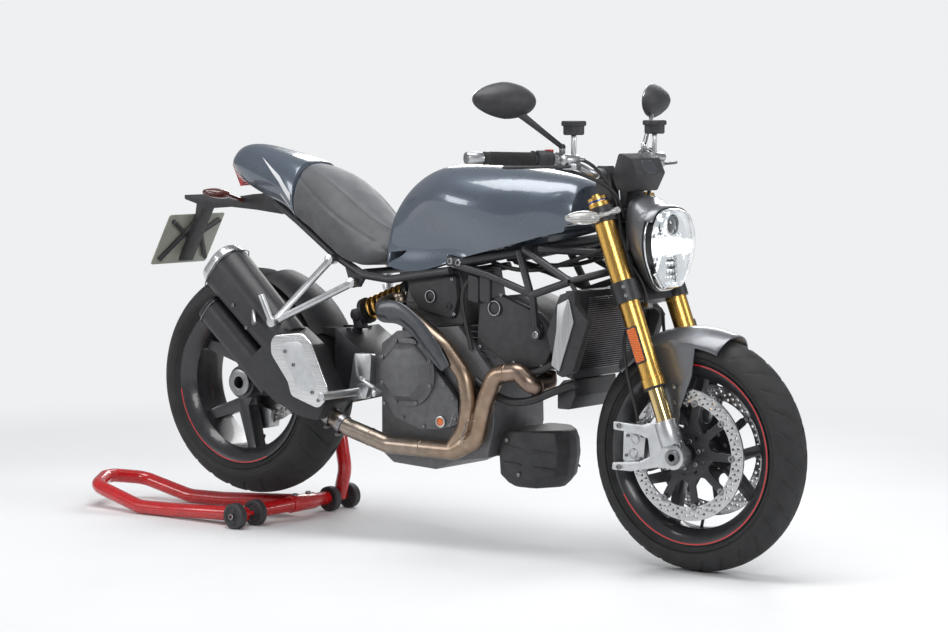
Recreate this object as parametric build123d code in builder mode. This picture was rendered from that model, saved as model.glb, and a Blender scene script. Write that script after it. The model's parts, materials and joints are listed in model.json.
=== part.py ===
from build123d import *
import os
from math import cos, pi, radians, sin

os.makedirs("parts", exist_ok=True)

# Millimetres. X runs forward, Y to the machine's left, Z up, floor at Z = 0.
# The rear wheel is held off the floor by the paddock stand, so the machine sits nose down.

# Overall layout
wheelbase = 1482
front_axle_x = 865
rear_lift = 65.8
rake = 20.8
fork_offset = 36
fork_half_spacing = 107
bar_half_width = 400

# Wheels and tyres
front_tyre_radius = 300
front_tyre_width = 120
front_bead_half = 44.5
rear_tyre_radius = 320.5
rear_tyre_width = 190
rear_bead_half = 76
bead_seat_radius = 216
flange_radius = 229
barrel_inner_radius = 190
fit_gap = 0.3

# Axles and hubs
front_axle_radius = 12.5
front_axle_bore = 9.5
front_hub_radius = 33
front_hub_half = 50.4
rear_axle_radius = 24
rear_axle_bore = 14.2
rear_axle_open_bore = 17
rear_hub_radius = 46
rear_hub_right = -72
rear_nut_radius = 37.5
rear_nut_depth = 12

# Brakes
front_disc_radius = 165
front_disc_inner = 131
front_disc_thickness = 5
front_disc_y = 58.5
rear_disc_radius = 122
rear_disc_inner = 84
rear_disc_thickness = 5
rear_disc_y = 46

# Fork, measured up the leg from the front axle
inner_tube_radius = 21.5
outer_tube_radius = 27
outer_tube_bottom = 182
outer_tube_top = 664
lower_clamp_bottom = 402
lower_clamp_height = 54
upper_clamp_bottom = 612
upper_clamp_height = 40
stem_radius = 14
bearing_radius = 19.7
head_tube_radius = 28
stem_bore = 8.2

# Frame and stand tubes
main_tube_radius = 13
small_tube_radius = 10
stand_tube_radius = 20
stand_pin_radius = 13.8
caster_radius = 36
caster_width = 24

# Working clearance and detail sizes
pin_gap = 0.4
plate_wall = 3
chain_half_pitch_line = 104
stand_pivot_x = 96
stand_pivot_z = 262
stand_y = 150
front_sprocket_radius = 36
pivot_bolt_radius = 11.6

front_axle = Vector(front_axle_x, 0, front_tyre_radius)
rear_axle = Vector(front_axle_x - wheelbase, 0, rear_tyre_radius + rear_lift)
swing_pivot = Vector(-118, 0, 447)
fork_up = Vector(-sin(radians(rake)), 0, cos(radians(rake)))
fork_ahead = Vector(cos(radians(rake)), 0, sin(radians(rake)))


def side(y):
    """Upright plane along the machine at y, drawn with x forward and y up"""
    return Plane.XZ.offset(-y)


def wheel_side(axle, y):
    """Upright plane centred on an axle, at y"""
    return Plane(origin=(axle.X, y, axle.Z), x_dir=(1, 0, 0), z_dir=(0, -1, 0))


def wheel_section(axle):
    """Plane for a turned wheel profile: x across the machine, y outward from the axle"""
    return Plane(origin=axle, x_dir=(0, 1, 0), z_dir=(1, 0, 0))


def fork_place(up, ahead=0, across=0):
    """Point given up the fork, ahead of the leg line and across the machine"""
    return front_axle + fork_up * up + fork_ahead * ahead + Vector(0, across, 0)


def fork_plane(up):
    """Plane square to the fork: x ahead, y across"""
    return Plane(origin=fork_place(up), x_dir=fork_ahead, z_dir=fork_up)


def slab(points, y_low, y_high, corner=0.0, mode=Mode.ADD):
    """Adds or cuts a flat plate drawn from the side between two values of y"""
    with BuildSketch(side(y_high)) as outline:
        with BuildLine():
            Polyline(*points, close=True)
        make_face()
        if corner > 0:
            fillet(outline.vertices(), radius=corner)
    extrude(outline.sketch, amount=y_high - y_low, mode=mode)


def rod(start, end, radius, mode=Mode.ADD):
    """Adds or cuts a straight round bar between two points"""
    run = Vector(*end) - Vector(*start)
    with BuildSketch(Plane(origin=start, z_dir=run)) as end_face:
        Circle(radius)
    extrude(end_face.sketch, amount=run.length, mode=mode)


def bent_tube(points, radius, bends):
    """Adds a round tube along straight runs joined by arcs"""
    with BuildLine() as path:
        FilletPolyline(*points, radius=bends)
    with BuildSketch(Plane(origin=path.line @ 0, z_dir=path.line % 0)) as end_face:
        Circle(radius)
    sweep(end_face.sketch, path=path.line)


def turned(axle, points):
    """Adds a ring turned about a wheel axle from (across, outward) points"""
    with BuildSketch(wheel_section(axle)) as profile:
        with BuildLine():
            Polyline(*points, close=True)
        make_face()
    revolve(profile.sketch, axis=Axis(axle, (0, 1, 0)))


def across_drum(centre_x, centre_z, radius, y_low, y_high, mode=Mode.ADD):
    """Adds or cuts a drum whose axis runs across the machine"""
    with BuildSketch(side(y_high)) as end_face:
        with Locations((centre_x, centre_z)):
            Circle(radius)
    extrude(end_face.sketch, amount=y_high - y_low, mode=mode)


def finish_piece(piece, name):
    """Names a finished piece and writes it out"""
    piece.part.label = name
    export_step(piece.part, f"parts/{name}.step")


def add_tyre(axle, radius, width, bead_half):
    """Adds a tyre: bead, sidewalls and a round crown"""
    shoulder = radius - 0.6 * (radius - flange_radius)
    wall_mid = (shoulder + flange_radius) / 2
    half = width / 2
    with BuildSketch(wheel_section(axle)) as profile:
        with BuildLine():
            seat = bead_seat_radius + fit_gap
            lip = flange_radius + fit_gap
            Polyline((-bead_half - 1, lip), (-bead_half + fit_gap, lip), (-bead_half + fit_gap, seat),
                     (bead_half - fit_gap, seat), (bead_half - fit_gap, lip), (bead_half + 1, lip))
            ThreePointArc((bead_half + 1, lip), (half - 4, wall_mid), (half, shoulder))
            ThreePointArc((half, shoulder), (0, radius), (-half, shoulder))
            ThreePointArc((-half, shoulder), (4 - half, wall_mid), (-bead_half - 1, lip))
        make_face()
    revolve(profile.sketch, axis=Axis(axle, (0, 1, 0)))


def add_rim_barrel(axle, bead_half):
    """Adds the rim: flanges, bead seats, drop centre and inner wall"""
    outside = [(bead_half + 6, flange_radius), (bead_half, flange_radius), (bead_half, bead_seat_radius),
               (bead_half - 15, bead_seat_radius - 2), (bead_half - 26, barrel_inner_radius + 6)]
    inside = [(bead_half - 24, barrel_inner_radius), (bead_half - 4, bead_seat_radius - 10),
              (bead_half + 6, flange_radius - 6)]
    right = [(-across, out) for across, out in reversed(outside)]
    right_inside = [(-across, out) for across, out in inside]
    turned(axle, outside + right + right_inside[::-1] + inside)


def add_y_spokes(axle, first_angle, half_spread, stem_start, fork_radius, stem_half, tip_half, y_low, y_high):
    """Adds three spokes that leave the hub as one stem and part into two arms"""
    reach = barrel_inner_radius + 3
    tip = tip_half / reach
    spread = radians(half_spread)

    def at(angle, distance):
        return (distance * cos(angle), distance * sin(angle))

    crotch = (fork_radius + tip_half * 2.2, 0)
    outline = [(stem_start, -stem_half), (fork_radius, -stem_half * 0.9),
               at(-spread - tip, reach), at(-spread + tip, reach), crotch,
               at(spread - tip, reach), at(spread + tip, reach),
               (fork_radius, stem_half * 0.9), (stem_start, stem_half)]
    with BuildSketch(wheel_side(axle, y_high)) as spokes:
        with PolarLocations(0, 3, start_angle=first_angle):
            Polygon(*outline, align=None)
    extrude(spokes.sketch, amount=y_high - y_low)


def add_bore(axle, radius, y_low, y_high):
    """Cuts a hole along a wheel axle"""
    across_drum(axle.X, axle.Z, radius, y_low, y_high, mode=Mode.SUBTRACT)


# Front tyre
with BuildPart() as front_tyre:
    add_tyre(front_axle, front_tyre_radius, front_tyre_width, front_bead_half)
finish_piece(front_tyre, "front_tyre")

# Rear tyre
with BuildPart() as rear_tyre:
    add_tyre(rear_axle, rear_tyre_radius, rear_tyre_width, rear_bead_half)
finish_piece(rear_tyre, "rear_tyre")

# Front rim with its three forked spokes and hub
with BuildPart() as front_rim:
    add_rim_barrel(front_axle, front_bead_half)
    add_y_spokes(front_axle, -12.5, 20.5, 20, 78, 21, 12, -12, 12)
    across_drum(front_axle.X, front_axle.Z, front_hub_radius, -front_hub_half, front_hub_half)
    add_bore(front_axle, front_axle_radius + pin_gap, -front_hub_half, front_hub_half)
finish_piece(front_rim, "front_rim")

# Rear rim, its hub face on the left bolted up to the turning axle
hub_left = rear_disc_y - rear_disc_thickness / 2 - fit_gap
with BuildPart() as rear_rim:
    add_rim_barrel(rear_axle, rear_bead_half)
    add_y_spokes(rear_axle, 2, 28, 25, 70, 24, 15, -28, 14)
    across_drum(rear_axle.X, rear_axle.Z, rear_hub_radius, rear_hub_right, hub_left)
    across_drum(rear_axle.X, rear_axle.Z, rear_disc_inner - 8, hub_left - 10, hub_left)
    add_bore(rear_axle, rear_axle_radius + pin_gap, rear_hub_right, hub_left)
finish_piece(rear_rim, "rear_rim")

# Front brake discs, each on a dark carrier with six arms
front_disc_inner_face = front_disc_y - front_disc_thickness / 2
carrier_thickness = 5
carrier_hub_radius = 56
carrier_tip_radius = front_disc_inner + 9
carrier_outer = front_disc_inner_face - fit_gap
with BuildPart() as front_brake_discs:
    for face in (-front_disc_y - front_disc_thickness / 2, front_disc_inner_face):
        across_drum(front_axle.X, front_axle.Z, front_disc_radius, face, face + front_disc_thickness)
        across_drum(front_axle.X, front_axle.Z, front_disc_inner, face, face + front_disc_thickness,
                    mode=Mode.SUBTRACT)
    for high in (carrier_outer, -carrier_outer + carrier_thickness):
        with BuildSketch(wheel_side(front_axle, high)):
            Circle(carrier_hub_radius)
            with PolarLocations((carrier_hub_radius + carrier_tip_radius) / 2 - 3, 6):
                Rectangle(carrier_tip_radius - carrier_hub_radius + 8, 15)
            Circle(front_axle_radius + 12, mode=Mode.SUBTRACT)
        extrude(amount=carrier_thickness)
finish_piece(front_brake_discs, "front_brake_discs")

# Rear axle: one turned piece with the wheel nut on the right and the sprocket seat on the left
arm_inner_y = 104
arm_outer_y = 130
carrier_left = arm_outer_y + 4
chain_y = carrier_left + 12
axle_left = chain_y + 14
rear_disc_left = rear_disc_y + rear_disc_thickness / 2
with BuildPart() as rear_wheel_axle:
    across_drum(rear_axle.X, rear_axle.Z, rear_axle_radius, rear_hub_right, axle_left)
    across_drum(rear_axle.X, rear_axle.Z, rear_axle_radius, rear_hub_right - fit_gap - 1, rear_hub_right)
    across_drum(rear_axle.X, rear_axle.Z, rear_nut_radius, rear_hub_right - rear_nut_depth - fit_gap,
                rear_hub_right - fit_gap)
    add_bore(rear_axle, rear_axle_bore, 0, axle_left)
    add_bore(rear_axle, rear_axle_open_bore, rear_hub_right - rear_nut_depth - 1, 66)
finish_piece(rear_wheel_axle, "rear_wheel_axle")

# Rear disc on the hub's left face and the sprocket outside the swingarm
sprocket_radius = chain_half_pitch_line - 6
with BuildPart() as rear_disc_and_sprocket:
    across_drum(rear_axle.X, rear_axle.Z, rear_disc_radius, rear_disc_y - rear_disc_thickness / 2, rear_disc_left)
    add_bore(rear_axle, rear_axle_radius + pin_gap, rear_disc_y - rear_disc_thickness, rear_disc_left + 1)
    with BuildSketch(wheel_side(rear_axle, chain_y + 3.5)):
        Circle(sprocket_radius)
        with PolarLocations(66, 6):
            Circle(20, mode=Mode.SUBTRACT)
        Circle(rear_axle_radius + fit_gap, mode=Mode.SUBTRACT)
    extrude(amount=7)
finish_piece(rear_disc_and_sprocket, "rear_disc_and_sprocket")

# Swingarm: pivot tube, cast bridge behind the engine and one arm on the left out to the hub carrier
carrier_radius = 68
lug_inner_y = 94
bridge_back = max(rear_axle.X + rear_tyre_radius + 32, -250)
with BuildPart() as swingarm:
    across_drum(swing_pivot.X, swing_pivot.Z, 34, -lug_inner_y + 1, lug_inner_y - 1)
    slab([(swing_pivot.X - 10, swing_pivot.Z + 38), (bridge_back, swing_pivot.Z + 112), (bridge_back - 2, 480),
          (bridge_back + 8, 380), (swing_pivot.X - 20, swing_pivot.Z - 34)], -lug_inner_y + 1, lug_inner_y - 1)
    slab([(swing_pivot.X - 44, swing_pivot.Z + 34), (bridge_back - 30, swing_pivot.Z + 62),
          (rear_axle.X + 40, rear_axle.Z + 58), (rear_axle.X, rear_axle.Z + carrier_radius - 4),
          (rear_axle.X, rear_axle.Z - carrier_radius + 4), (rear_axle.X + 50, rear_axle.Z - 52),
          (bridge_back, swing_pivot.Z - 66), (swing_pivot.X - 44, swing_pivot.Z - 34)], arm_inner_y, arm_outer_y)
    slab([(swing_pivot.X - 44, swing_pivot.Z + 34), (bridge_back, swing_pivot.Z + 56),
          (bridge_back, swing_pivot.Z - 60), (swing_pivot.X - 44, swing_pivot.Z - 34)],
         lug_inner_y - 2, arm_inner_y + 1)
    across_drum(rear_axle.X, rear_axle.Z, carrier_radius, rear_disc_left + 6, carrier_left)
    add_bore(rear_axle, rear_axle_radius + pin_gap, rear_disc_left, carrier_left + 1)
    across_drum(swing_pivot.X, swing_pivot.Z, pivot_bolt_radius + pin_gap, -lug_inner_y, lug_inner_y,
                mode=Mode.SUBTRACT)
finish_piece(swingarm, "swingarm")

# Rear caliper under the hub carrier, open where the disc turns
with BuildPart() as rear_caliper:
    caliper_x = rear_axle.X - 26
    caliper_z = rear_axle.Z - 112
    slab([(caliper_x - 52, caliper_z + 22), (caliper_x - 44, caliper_z - 22), (caliper_x - 12, caliper_z - 36),
          (caliper_x + 40, caliper_z - 26), (caliper_x + 52, caliper_z + 26), (caliper_x + 14, caliper_z + 34)],
         rear_disc_y - 20, rear_disc_y + 24, corner=6)
    across_drum(rear_axle.X, rear_axle.Z, rear_disc_radius + 3, rear_disc_y - 5, rear_disc_y + 5,
                mode=Mode.SUBTRACT)
    slab([(rear_axle.X - 45, rear_axle.Z - 40), (rear_axle.X + 32, rear_axle.Z - 50),
          (caliper_x + 46, caliper_z + 24), (caliper_x - 40, caliper_z + 14)],
         rear_disc_left + 6.5, rear_disc_left + 22)
    across_drum(rear_axle.X, rear_axle.Z, carrier_radius + fit_gap, rear_disc_left, carrier_left,
                mode=Mode.SUBTRACT)
finish_piece(rear_caliper, "rear_caliper")

# Front axle: hollow, through both fork feet
foot_outer_y = 124
foot_inner_y = 88
with BuildPart() as front_axle_shaft:
    across_drum(front_axle.X, front_axle.Z, front_axle_radius, -foot_outer_y + 2, foot_outer_y - 2)
    across_drum(front_axle.X, front_axle.Z, 20, front_hub_half + 1, foot_inner_y - fit_gap)
    across_drum(front_axle.X, front_axle.Z, 20, fit_gap - foot_inner_y, -front_hub_half - 1)
    add_bore(front_axle, front_axle_bore, -foot_outer_y, foot_outer_y)
finish_piece(front_axle_shaft, "front_axle_shaft")

# Fork feet: axle boss, socket for the leg and two arms that hold the caliper
foot_top = 92
with BuildPart() as fork_feet:
    with BuildSketch(fork_plane(foot_top - 62)):
        with Locations((0, -fork_half_spacing)):
            Circle(29)
    extrude(amount=62)
    slab([(front_axle.X + 26, front_axle.Z + 8), (front_axle.X - 8, front_axle.Z + 92),
          (front_axle.X - 60, front_axle.Z + 84), (front_axle.X - 96, front_axle.Z + 72),
          (front_axle.X - 182, front_axle.Z + 76), (front_axle.X - 182, front_axle.Z + 56),
          (front_axle.X - 108, front_axle.Z + 50), (front_axle.X - 78, front_axle.Z + 40),
          (front_axle.X - 72, front_axle.Z - 4), (front_axle.X - 104, front_axle.Z - 20),
          (front_axle.X - 184, front_axle.Z - 28), (front_axle.X - 186, front_axle.Z - 46),
          (front_axle.X - 130, front_axle.Z - 46), (front_axle.X - 50, front_axle.Z - 30),
          (front_axle.X, front_axle.Z - 30)], -foot_outer_y + 8, -foot_outer_y + 30, corner=4)
    across_drum(front_axle.X, front_axle.Z, 31, -foot_outer_y, -foot_inner_y)
    rod(fork_place(foot_top - 40, 0, -fork_half_spacing), fork_place(foot_top + 30, 0, -fork_half_spacing),
        inner_tube_radius + fit_gap, mode=Mode.SUBTRACT)
    add_bore(front_axle, front_axle_radius + 0.1, -foot_outer_y - 1, -foot_inner_y + 1)
    mirror(about=Plane.XZ)
finish_piece(fork_feet, "fork_feet")

# Inner fork tubes
with BuildPart() as fork_inner_tubes:
    for across in (-fork_half_spacing, fork_half_spacing):
        rod(fork_place(foot_top - 40 + fit_gap, 0, across), fork_place(outer_tube_bottom + 120, 0, across),
            inner_tube_radius)
finish_piece(fork_inner_tubes, "fork_inner_tubes")

# Outer fork tubes with the collar at the bottom and the cap in the top
with BuildPart() as fork_outer_tubes:
    for across in (-fork_half_spacing, fork_half_spacing):
        rod(fork_place(outer_tube_bottom, 0, across), fork_place(outer_tube_top, 0, across), outer_tube_radius)
        rod(fork_place(outer_tube_bottom, 0, across), fork_place(outer_tube_bottom + 22, 0, across),
            outer_tube_radius + 2.5)
        rod(fork_place(outer_tube_bottom - 1, 0, across), fork_place(outer_tube_bottom + 121, 0, across),
            inner_tube_radius + fit_gap, mode=Mode.SUBTRACT)
        rod(fork_place(outer_tube_top + fit_gap, 0, across), fork_place(outer_tube_top + 14, 0, across),
            outer_tube_radius - 1)
        rod(fork_place(outer_tube_top + 13, 0, across), fork_place(outer_tube_top + 22, 0, across), 13)
finish_piece(fork_outer_tubes, "fork_outer_tubes")


def add_clamp(bottom, height, leg_boss, web_half):
    """Adds one fork clamp: two leg rings tied to the steering stem boss"""
    with BuildSketch(fork_plane(bottom)) as clamp_face:
        with Locations((0, -fork_half_spacing), (0, fork_half_spacing)):
            Circle(leg_boss)
        with BuildLine():
            Polyline((web_half * 0.5, -fork_half_spacing), (web_half * 0.4, 0), (web_half * 0.5, fork_half_spacing),
                     (-web_half, fork_half_spacing), (-fork_offset - 30, 24), (-fork_offset - 30, -24),
                     (-web_half, -fork_half_spacing), close=True)
        make_face()
        with Locations((0, -fork_half_spacing), (0, fork_half_spacing)):
            Circle(outer_tube_radius + 0.2, mode=Mode.SUBTRACT)
    extrude(clamp_face.sketch, amount=height)


# Lower and upper fork clamps with the steering stem between them
upper_clamp_top = upper_clamp_bottom + upper_clamp_height
lower_clamp_top = lower_clamp_bottom + lower_clamp_height
with BuildPart() as fork_clamps:
    add_clamp(lower_clamp_bottom, lower_clamp_height, 34, 26)
    add_clamp(upper_clamp_bottom, upper_clamp_height, 33, 20)
    rod(fork_place(lower_clamp_bottom, -fork_offset), fork_place(upper_clamp_top + 6, -fork_offset), stem_radius)
    rod(fork_place(lower_clamp_top, -fork_offset), fork_place(lower_clamp_top + 22, -fork_offset),
        bearing_radius)
    rod(fork_place(upper_clamp_bottom - 22, -fork_offset), fork_place(upper_clamp_bottom, -fork_offset),
        bearing_radius)
    rod(fork_place(lower_clamp_bottom - 1, -fork_offset), fork_place(upper_clamp_top + 7, -fork_offset),
        stem_bore, mode=Mode.SUBTRACT)

bar_x = 612
bar_z = 994
bar_radius = 14
grip_start_y = 252
grip_sweep = 0.553


def bar_point(across):
    """Point on the straight outer part of the bar at a distance from the middle"""
    beyond = abs(across) - 172
    rise = 6 * beyond / (bar_half_width - 172)
    return Vector(bar_x - 34 - beyond * grip_sweep, across, bar_z + 37 + rise)


# Bar risers stand on the upper clamp
with BuildPart() as fork_clamps_and_risers:
    add(fork_clamps.part)
    for across in (-52, 52):
        foot = fork_place(upper_clamp_top, -fork_offset + 26, across)
        slab([(foot.X - 24, foot.Z - 13), (foot.X + 24, foot.Z + 5), (bar_x + 23, bar_z + 6),
              (bar_x + 14, bar_z + 20), (bar_x - 14, bar_z + 20),
              (bar_x - 22, bar_z + 2)], across - 15, across + 15)
    rod((bar_x, -80, bar_z), (bar_x, 80, bar_z), bar_radius + 0.2, mode=Mode.SUBTRACT)
finish_piece(fork_clamps_and_risers, "fork_clamps")

# Handlebar swept back from the risers, with the silver end weights
with BuildPart() as handlebar:
    bar_points = []
    for hand in (1, -1):
        half_bar = [(bar_x - 34 - (bar_half_width - 172) * grip_sweep, bar_half_width, bar_z + 43),
                    (bar_x - 34, 172, bar_z + 37),
                    (bar_x, 108, bar_z)]
        if hand == 1:
            bar_points += [(x, -y, z) for x, y, z in half_bar]
        else:
            bar_points += [(x, y, z) for x, y, z in reversed(half_bar)]
    bent_tube(bar_points, 11, [40, 60, 60, 40])
    rod((bar_x, -96, bar_z), (bar_x, 96, bar_z), bar_radius)
    for hand in (-1, 1):
        rod(bar_point(hand * (bar_half_width - 25)), bar_point(hand * (bar_half_width + 12)), 15)
finish_piece(handlebar, "handlebar")


# Rubber grips
with BuildPart() as grips:
    for hand in (-1, 1):
        inner_end = bar_point(hand * grip_start_y)
        outer_end = bar_point(hand * (bar_half_width - 26))
        rod(inner_end, outer_end, 17)
        rod(inner_end, bar_point(hand * (grip_start_y + 6)), 21)
        rod(bar_point(hand * (grip_start_y - 2)), bar_point(hand * bar_half_width), 11 + 0.2, mode=Mode.SUBTRACT)
finish_piece(grips, "grips")

# Switch housings, master cylinders with their fluid pots, and the levers
pot_radius = 31
pot_top = 1128
with BuildPart() as hand_controls:
    for hand in (-1, 1):
        clamp = bar_point(hand * 192)
        cylinder_x = clamp.X + 38
        rod(bar_point(hand * (grip_start_y - 1)), bar_point(hand * (grip_start_y - 44)), 22)
        rod(clamp, bar_point(hand * 176), 19)
        rod((clamp.X + 10, hand * 184, clamp.Z), (cylinder_x, hand * 184, clamp.Z), 9)
        rod((cylinder_x + 2, hand * 170, clamp.Z), (cylinder_x - 2, hand * 222, clamp.Z), 13)
        rod((cylinder_x, hand * 182, clamp.Z), (cylinder_x, hand * 182, pot_top - 36), 7)
        rod((cylinder_x, hand * 182, pot_top - 36), (cylinder_x, hand * 182, pot_top), pot_radius * 0.85)
        rod((cylinder_x, hand * 182, pot_top - 12), (cylinder_x, hand * 182, pot_top), pot_radius)
        rod(bar_point(hand * (grip_start_y + 1)), bar_point(hand * 173), 11 + 0.2, mode=Mode.SUBTRACT)
        with BuildSketch(Plane.XY.offset(clamp.Z - 22)) as lever:
            with BuildLine():
                Polyline((clamp.X + 34, hand * 184), (clamp.X + 50, hand * 206), (clamp.X + 30, hand * 290),
                         (clamp.X - 26, hand * 392), (clamp.X - 40, hand * 388), (clamp.X + 14, hand * 288),
                         (clamp.X + 28, hand * 212), (clamp.X + 24, hand * 192), close=True)
            make_face()
        extrude(amount=10)
    add(handlebar.part, mode=Mode.SUBTRACT)
finish_piece(hand_controls, "hand_controls")

# Mirrors on stems from the master cylinder clamps
mirror_y = 330
mirror_x = 508
mirror_z = 1178
with BuildPart() as mirrors:
    for hand in (-1, 1):
        clamp = bar_point(hand * 184)
        with BuildSketch(Plane(origin=(mirror_x - 12, hand * mirror_y, mirror_z),
                               x_dir=(hand * -0.3, 0.954, 0), z_dir=(0.954, hand * 0.3, 0))) as glass_face:
            Ellipse(97, 46)
        with BuildSketch(Plane(origin=(mirror_x + 14, hand * (mirror_y + 8), mirror_z),
                               x_dir=(hand * -0.3, 0.954, 0), z_dir=(0.954, hand * 0.3, 0))):
            Ellipse(84, 38)
        with BuildSketch(Plane(origin=(mirror_x + 32, hand * (mirror_y + 13), mirror_z),
                               x_dir=(hand * -0.3, 0.954, 0), z_dir=(0.954, hand * 0.3, 0))):
            Ellipse(40, 20)
        loft()
        rod((clamp.X, hand * 184, clamp.Z + 14), (clamp.X, hand * 184, clamp.Z + 32), 8)
        rod((clamp.X, hand * 184, clamp.Z + 27), (mirror_x + 12, hand * (mirror_y - 28), mirror_z - 26), 7)
    add(hand_controls.part, mode=Mode.SUBTRACT)
finish_piece(mirrors, "mirrors")

# Headlight: shield outline with a domed lens and a shell running back between the legs
lamp_z = 812
lens_back_x = 757
lens_front_x = 806
housing_back_x = 676


def shield(half_width, top, bottom):
    """Draws the lamp's outline: broad and round above, narrow below"""
    with BuildLine() as rim:
        Spline((0, top), (half_width * 0.72, top * 0.86), (half_width, top * 0.22),
               (half_width * 0.78, bottom * 0.5), (half_width * 0.42, bottom * 0.92), (0, bottom),
               tangents=((1, 0), (-1, 0)))
        Spline((0, bottom), (-half_width * 0.42, bottom * 0.92), (-half_width * 0.78, bottom * 0.5),
               (-half_width, top * 0.22), (-half_width * 0.72, top * 0.86), (0, top),
               tangents=((-1, 0), (1, 0)))
    make_face(rim.edges())


def lamp_plane(x, z):
    """Upright plane facing forward: x across, y up"""
    return Plane(origin=(x, 0, z), x_dir=(0, 1, 0), z_dir=(1, 0, 0))


with BuildPart() as headlight_housing:
    with BuildSketch(lamp_plane(lens_back_x - fit_gap, lamp_z)):
        shield(104, 108, -114)
    with BuildSketch(lamp_plane(716, lamp_z + 22)):
        shield(86, 104, -100)
    with BuildSketch(lamp_plane(housing_back_x, lamp_z + 46)):
        shield(66, 82, -70)
    loft()
finish_piece(headlight_housing, "headlight_housing")

with BuildPart() as headlight_lens:
    with BuildSketch(lamp_plane(lens_back_x, lamp_z)):
        shield(99, 102, -109)
    with BuildSketch(lamp_plane(lens_back_x + 26, lamp_z)):
        shield(93, 96, -103)
    with BuildSketch(lamp_plane(lens_front_x, lamp_z)):
        shield(62, 66, -70)
    loft()
finish_piece(headlight_lens, "headlight_lens")

# Instrument box ahead of the bar, on the bracket that also holds the headlight
with BuildPart() as instrument_display:
    slab([(640, 985), (660, 1048), (698, 1034), (716, 996), (692, 950), (656, 954)], -64, 64, corner=8)
    slab([(640, 906), (housing_back_x - fit_gap, 906), (housing_back_x - fit_gap, 800), (668, 800), (668, 882),
          (655, 882)], -40, 40)
    slab([(652, 904), (672, 904), (680, 956), (662, 958)], -24, 24)
    add(fork_clamps.part, mode=Mode.SUBTRACT)
    add(headlight_housing.part, mode=Mode.SUBTRACT)
finish_piece(instrument_display, "instrument_display")

# Front indicators on short stalks
with BuildPart() as front_indicators:
    for hand in (-1, 1):
        stalk_root = fork_place(630, 30, hand * fork_half_spacing)
        stalk_end = fork_place(630, 52, hand * fork_half_spacing)
        rod(stalk_root, stalk_end, 8)
        rod(fork_place(630, 46, hand * (fork_half_spacing - 4)), (668, hand * 176, 889), 5)
        add(fork_clamps.part, mode=Mode.SUBTRACT)
        with BuildSketch(Plane(origin=(664, hand * 172, 889), z_dir=(-0.35, hand, 0))) as lamp_root:
            Ellipse(19, 13)
        with BuildSketch(Plane(origin=(648, hand * 214, 889), z_dir=(-0.35, hand, 0))):
            Ellipse(26, 17)
        with BuildSketch(Plane(origin=(632, hand * 246, 889), z_dir=(-0.35, hand, 0))):
            Ellipse(12, 8)
        loft()
finish_piece(front_indicators, "front_indicators")

# Front mudguard: crown over the tyre with side skirts down between the fork legs
guard_half = front_tyre_width / 2 + 12
guard_crown = front_tyre_radius + 14
guard_side = front_tyre_radius - 30
guard_start = 70
guard_sweep = 64
with BuildPart() as front_mudguard:
    tilt = radians(guard_start)
    section = Plane(origin=front_axle, x_dir=(0, 1, 0), z_dir=(sin(tilt), 0, -cos(tilt)))
    with BuildSketch(section):
        with BuildLine():
            Line((guard_half, guard_side), (guard_half, guard_crown - 36))
            ThreePointArc((guard_half, guard_crown - 36), (0, guard_crown + 4), (-guard_half, guard_crown - 36))
            Line((-guard_half, guard_crown - 36), (-guard_half, guard_side))
            Line((-guard_half, guard_side), (plate_wall - guard_half, guard_side))
            Line((plate_wall - guard_half, guard_side), (plate_wall - guard_half, guard_crown - 37))
            ThreePointArc((plate_wall - guard_half, guard_crown - 37), (0, guard_crown + 1),
                          (guard_half - plate_wall, guard_crown - 37))
            Line((guard_half - plate_wall, guard_crown - 37), (guard_half - plate_wall, guard_side))
            Line((guard_half - plate_wall, guard_side), (guard_half, guard_side))
        make_face()
    revolve(axis=Axis(front_axle, (0, -1, 0)), revolution_arc=guard_sweep)
    for low in (-guard_half, guard_half - plate_wall):
        slab([(front_axle.X - 100, front_axle.Z + 262), (front_axle.X - 40, front_axle.Z + 286),
              (front_axle.X + 30, front_axle.Z + 278), (front_axle.X + 20, front_axle.Z + 200),
              (front_axle.X - 18, front_axle.Z + 104), (front_axle.X - 44, front_axle.Z + 88),
              (front_axle.X - 78, front_axle.Z + 110)], low, low + plate_wall)
        slab([(front_axle.X - 50, front_axle.Z + 100), (front_axle.X - 14, front_axle.Z + 108),
              (front_axle.X - 18, front_axle.Z + 66), (front_axle.X - 40, front_axle.Z + 66)], low, low + plate_wall)
    for low in (-82, guard_half - plate_wall):
        across_drum(front_axle.X - 29, front_axle.Z + 76, 9, low, low + 82 - guard_half + plate_wall)
    add(fork_feet.part, mode=Mode.SUBTRACT)
finish_piece(front_mudguard, "front_mudguard")

# Front calipers on the arms of the fork feet, open where the discs turn
with BuildPart() as front_calipers:
    slab([(front_axle.X - 166, front_axle.Z + 52), (front_axle.X - 168, front_axle.Z - 24),
          (front_axle.X - 150, front_axle.Z - 26), (front_axle.X - 106, front_axle.Z - 16),
          (front_axle.X - 100, front_axle.Z + 44), (front_axle.X - 140, front_axle.Z + 54)], -93.5, -36, corner=5)
    across_drum(front_axle.X, front_axle.Z, front_disc_radius + 2, -front_disc_y - 4, -front_disc_y + 4,
                mode=Mode.SUBTRACT)
    across_drum(front_axle.X, front_axle.Z, carrier_tip_radius + 4, -front_disc_y, -carrier_outer + 8,
                mode=Mode.SUBTRACT)
    mirror(about=Plane.XZ)
finish_piece(front_calipers, "front_calipers")

# Brake hoses from the right master cylinder, ahead of the lower clamp and down behind the legs
hose_radius = 4.5


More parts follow.
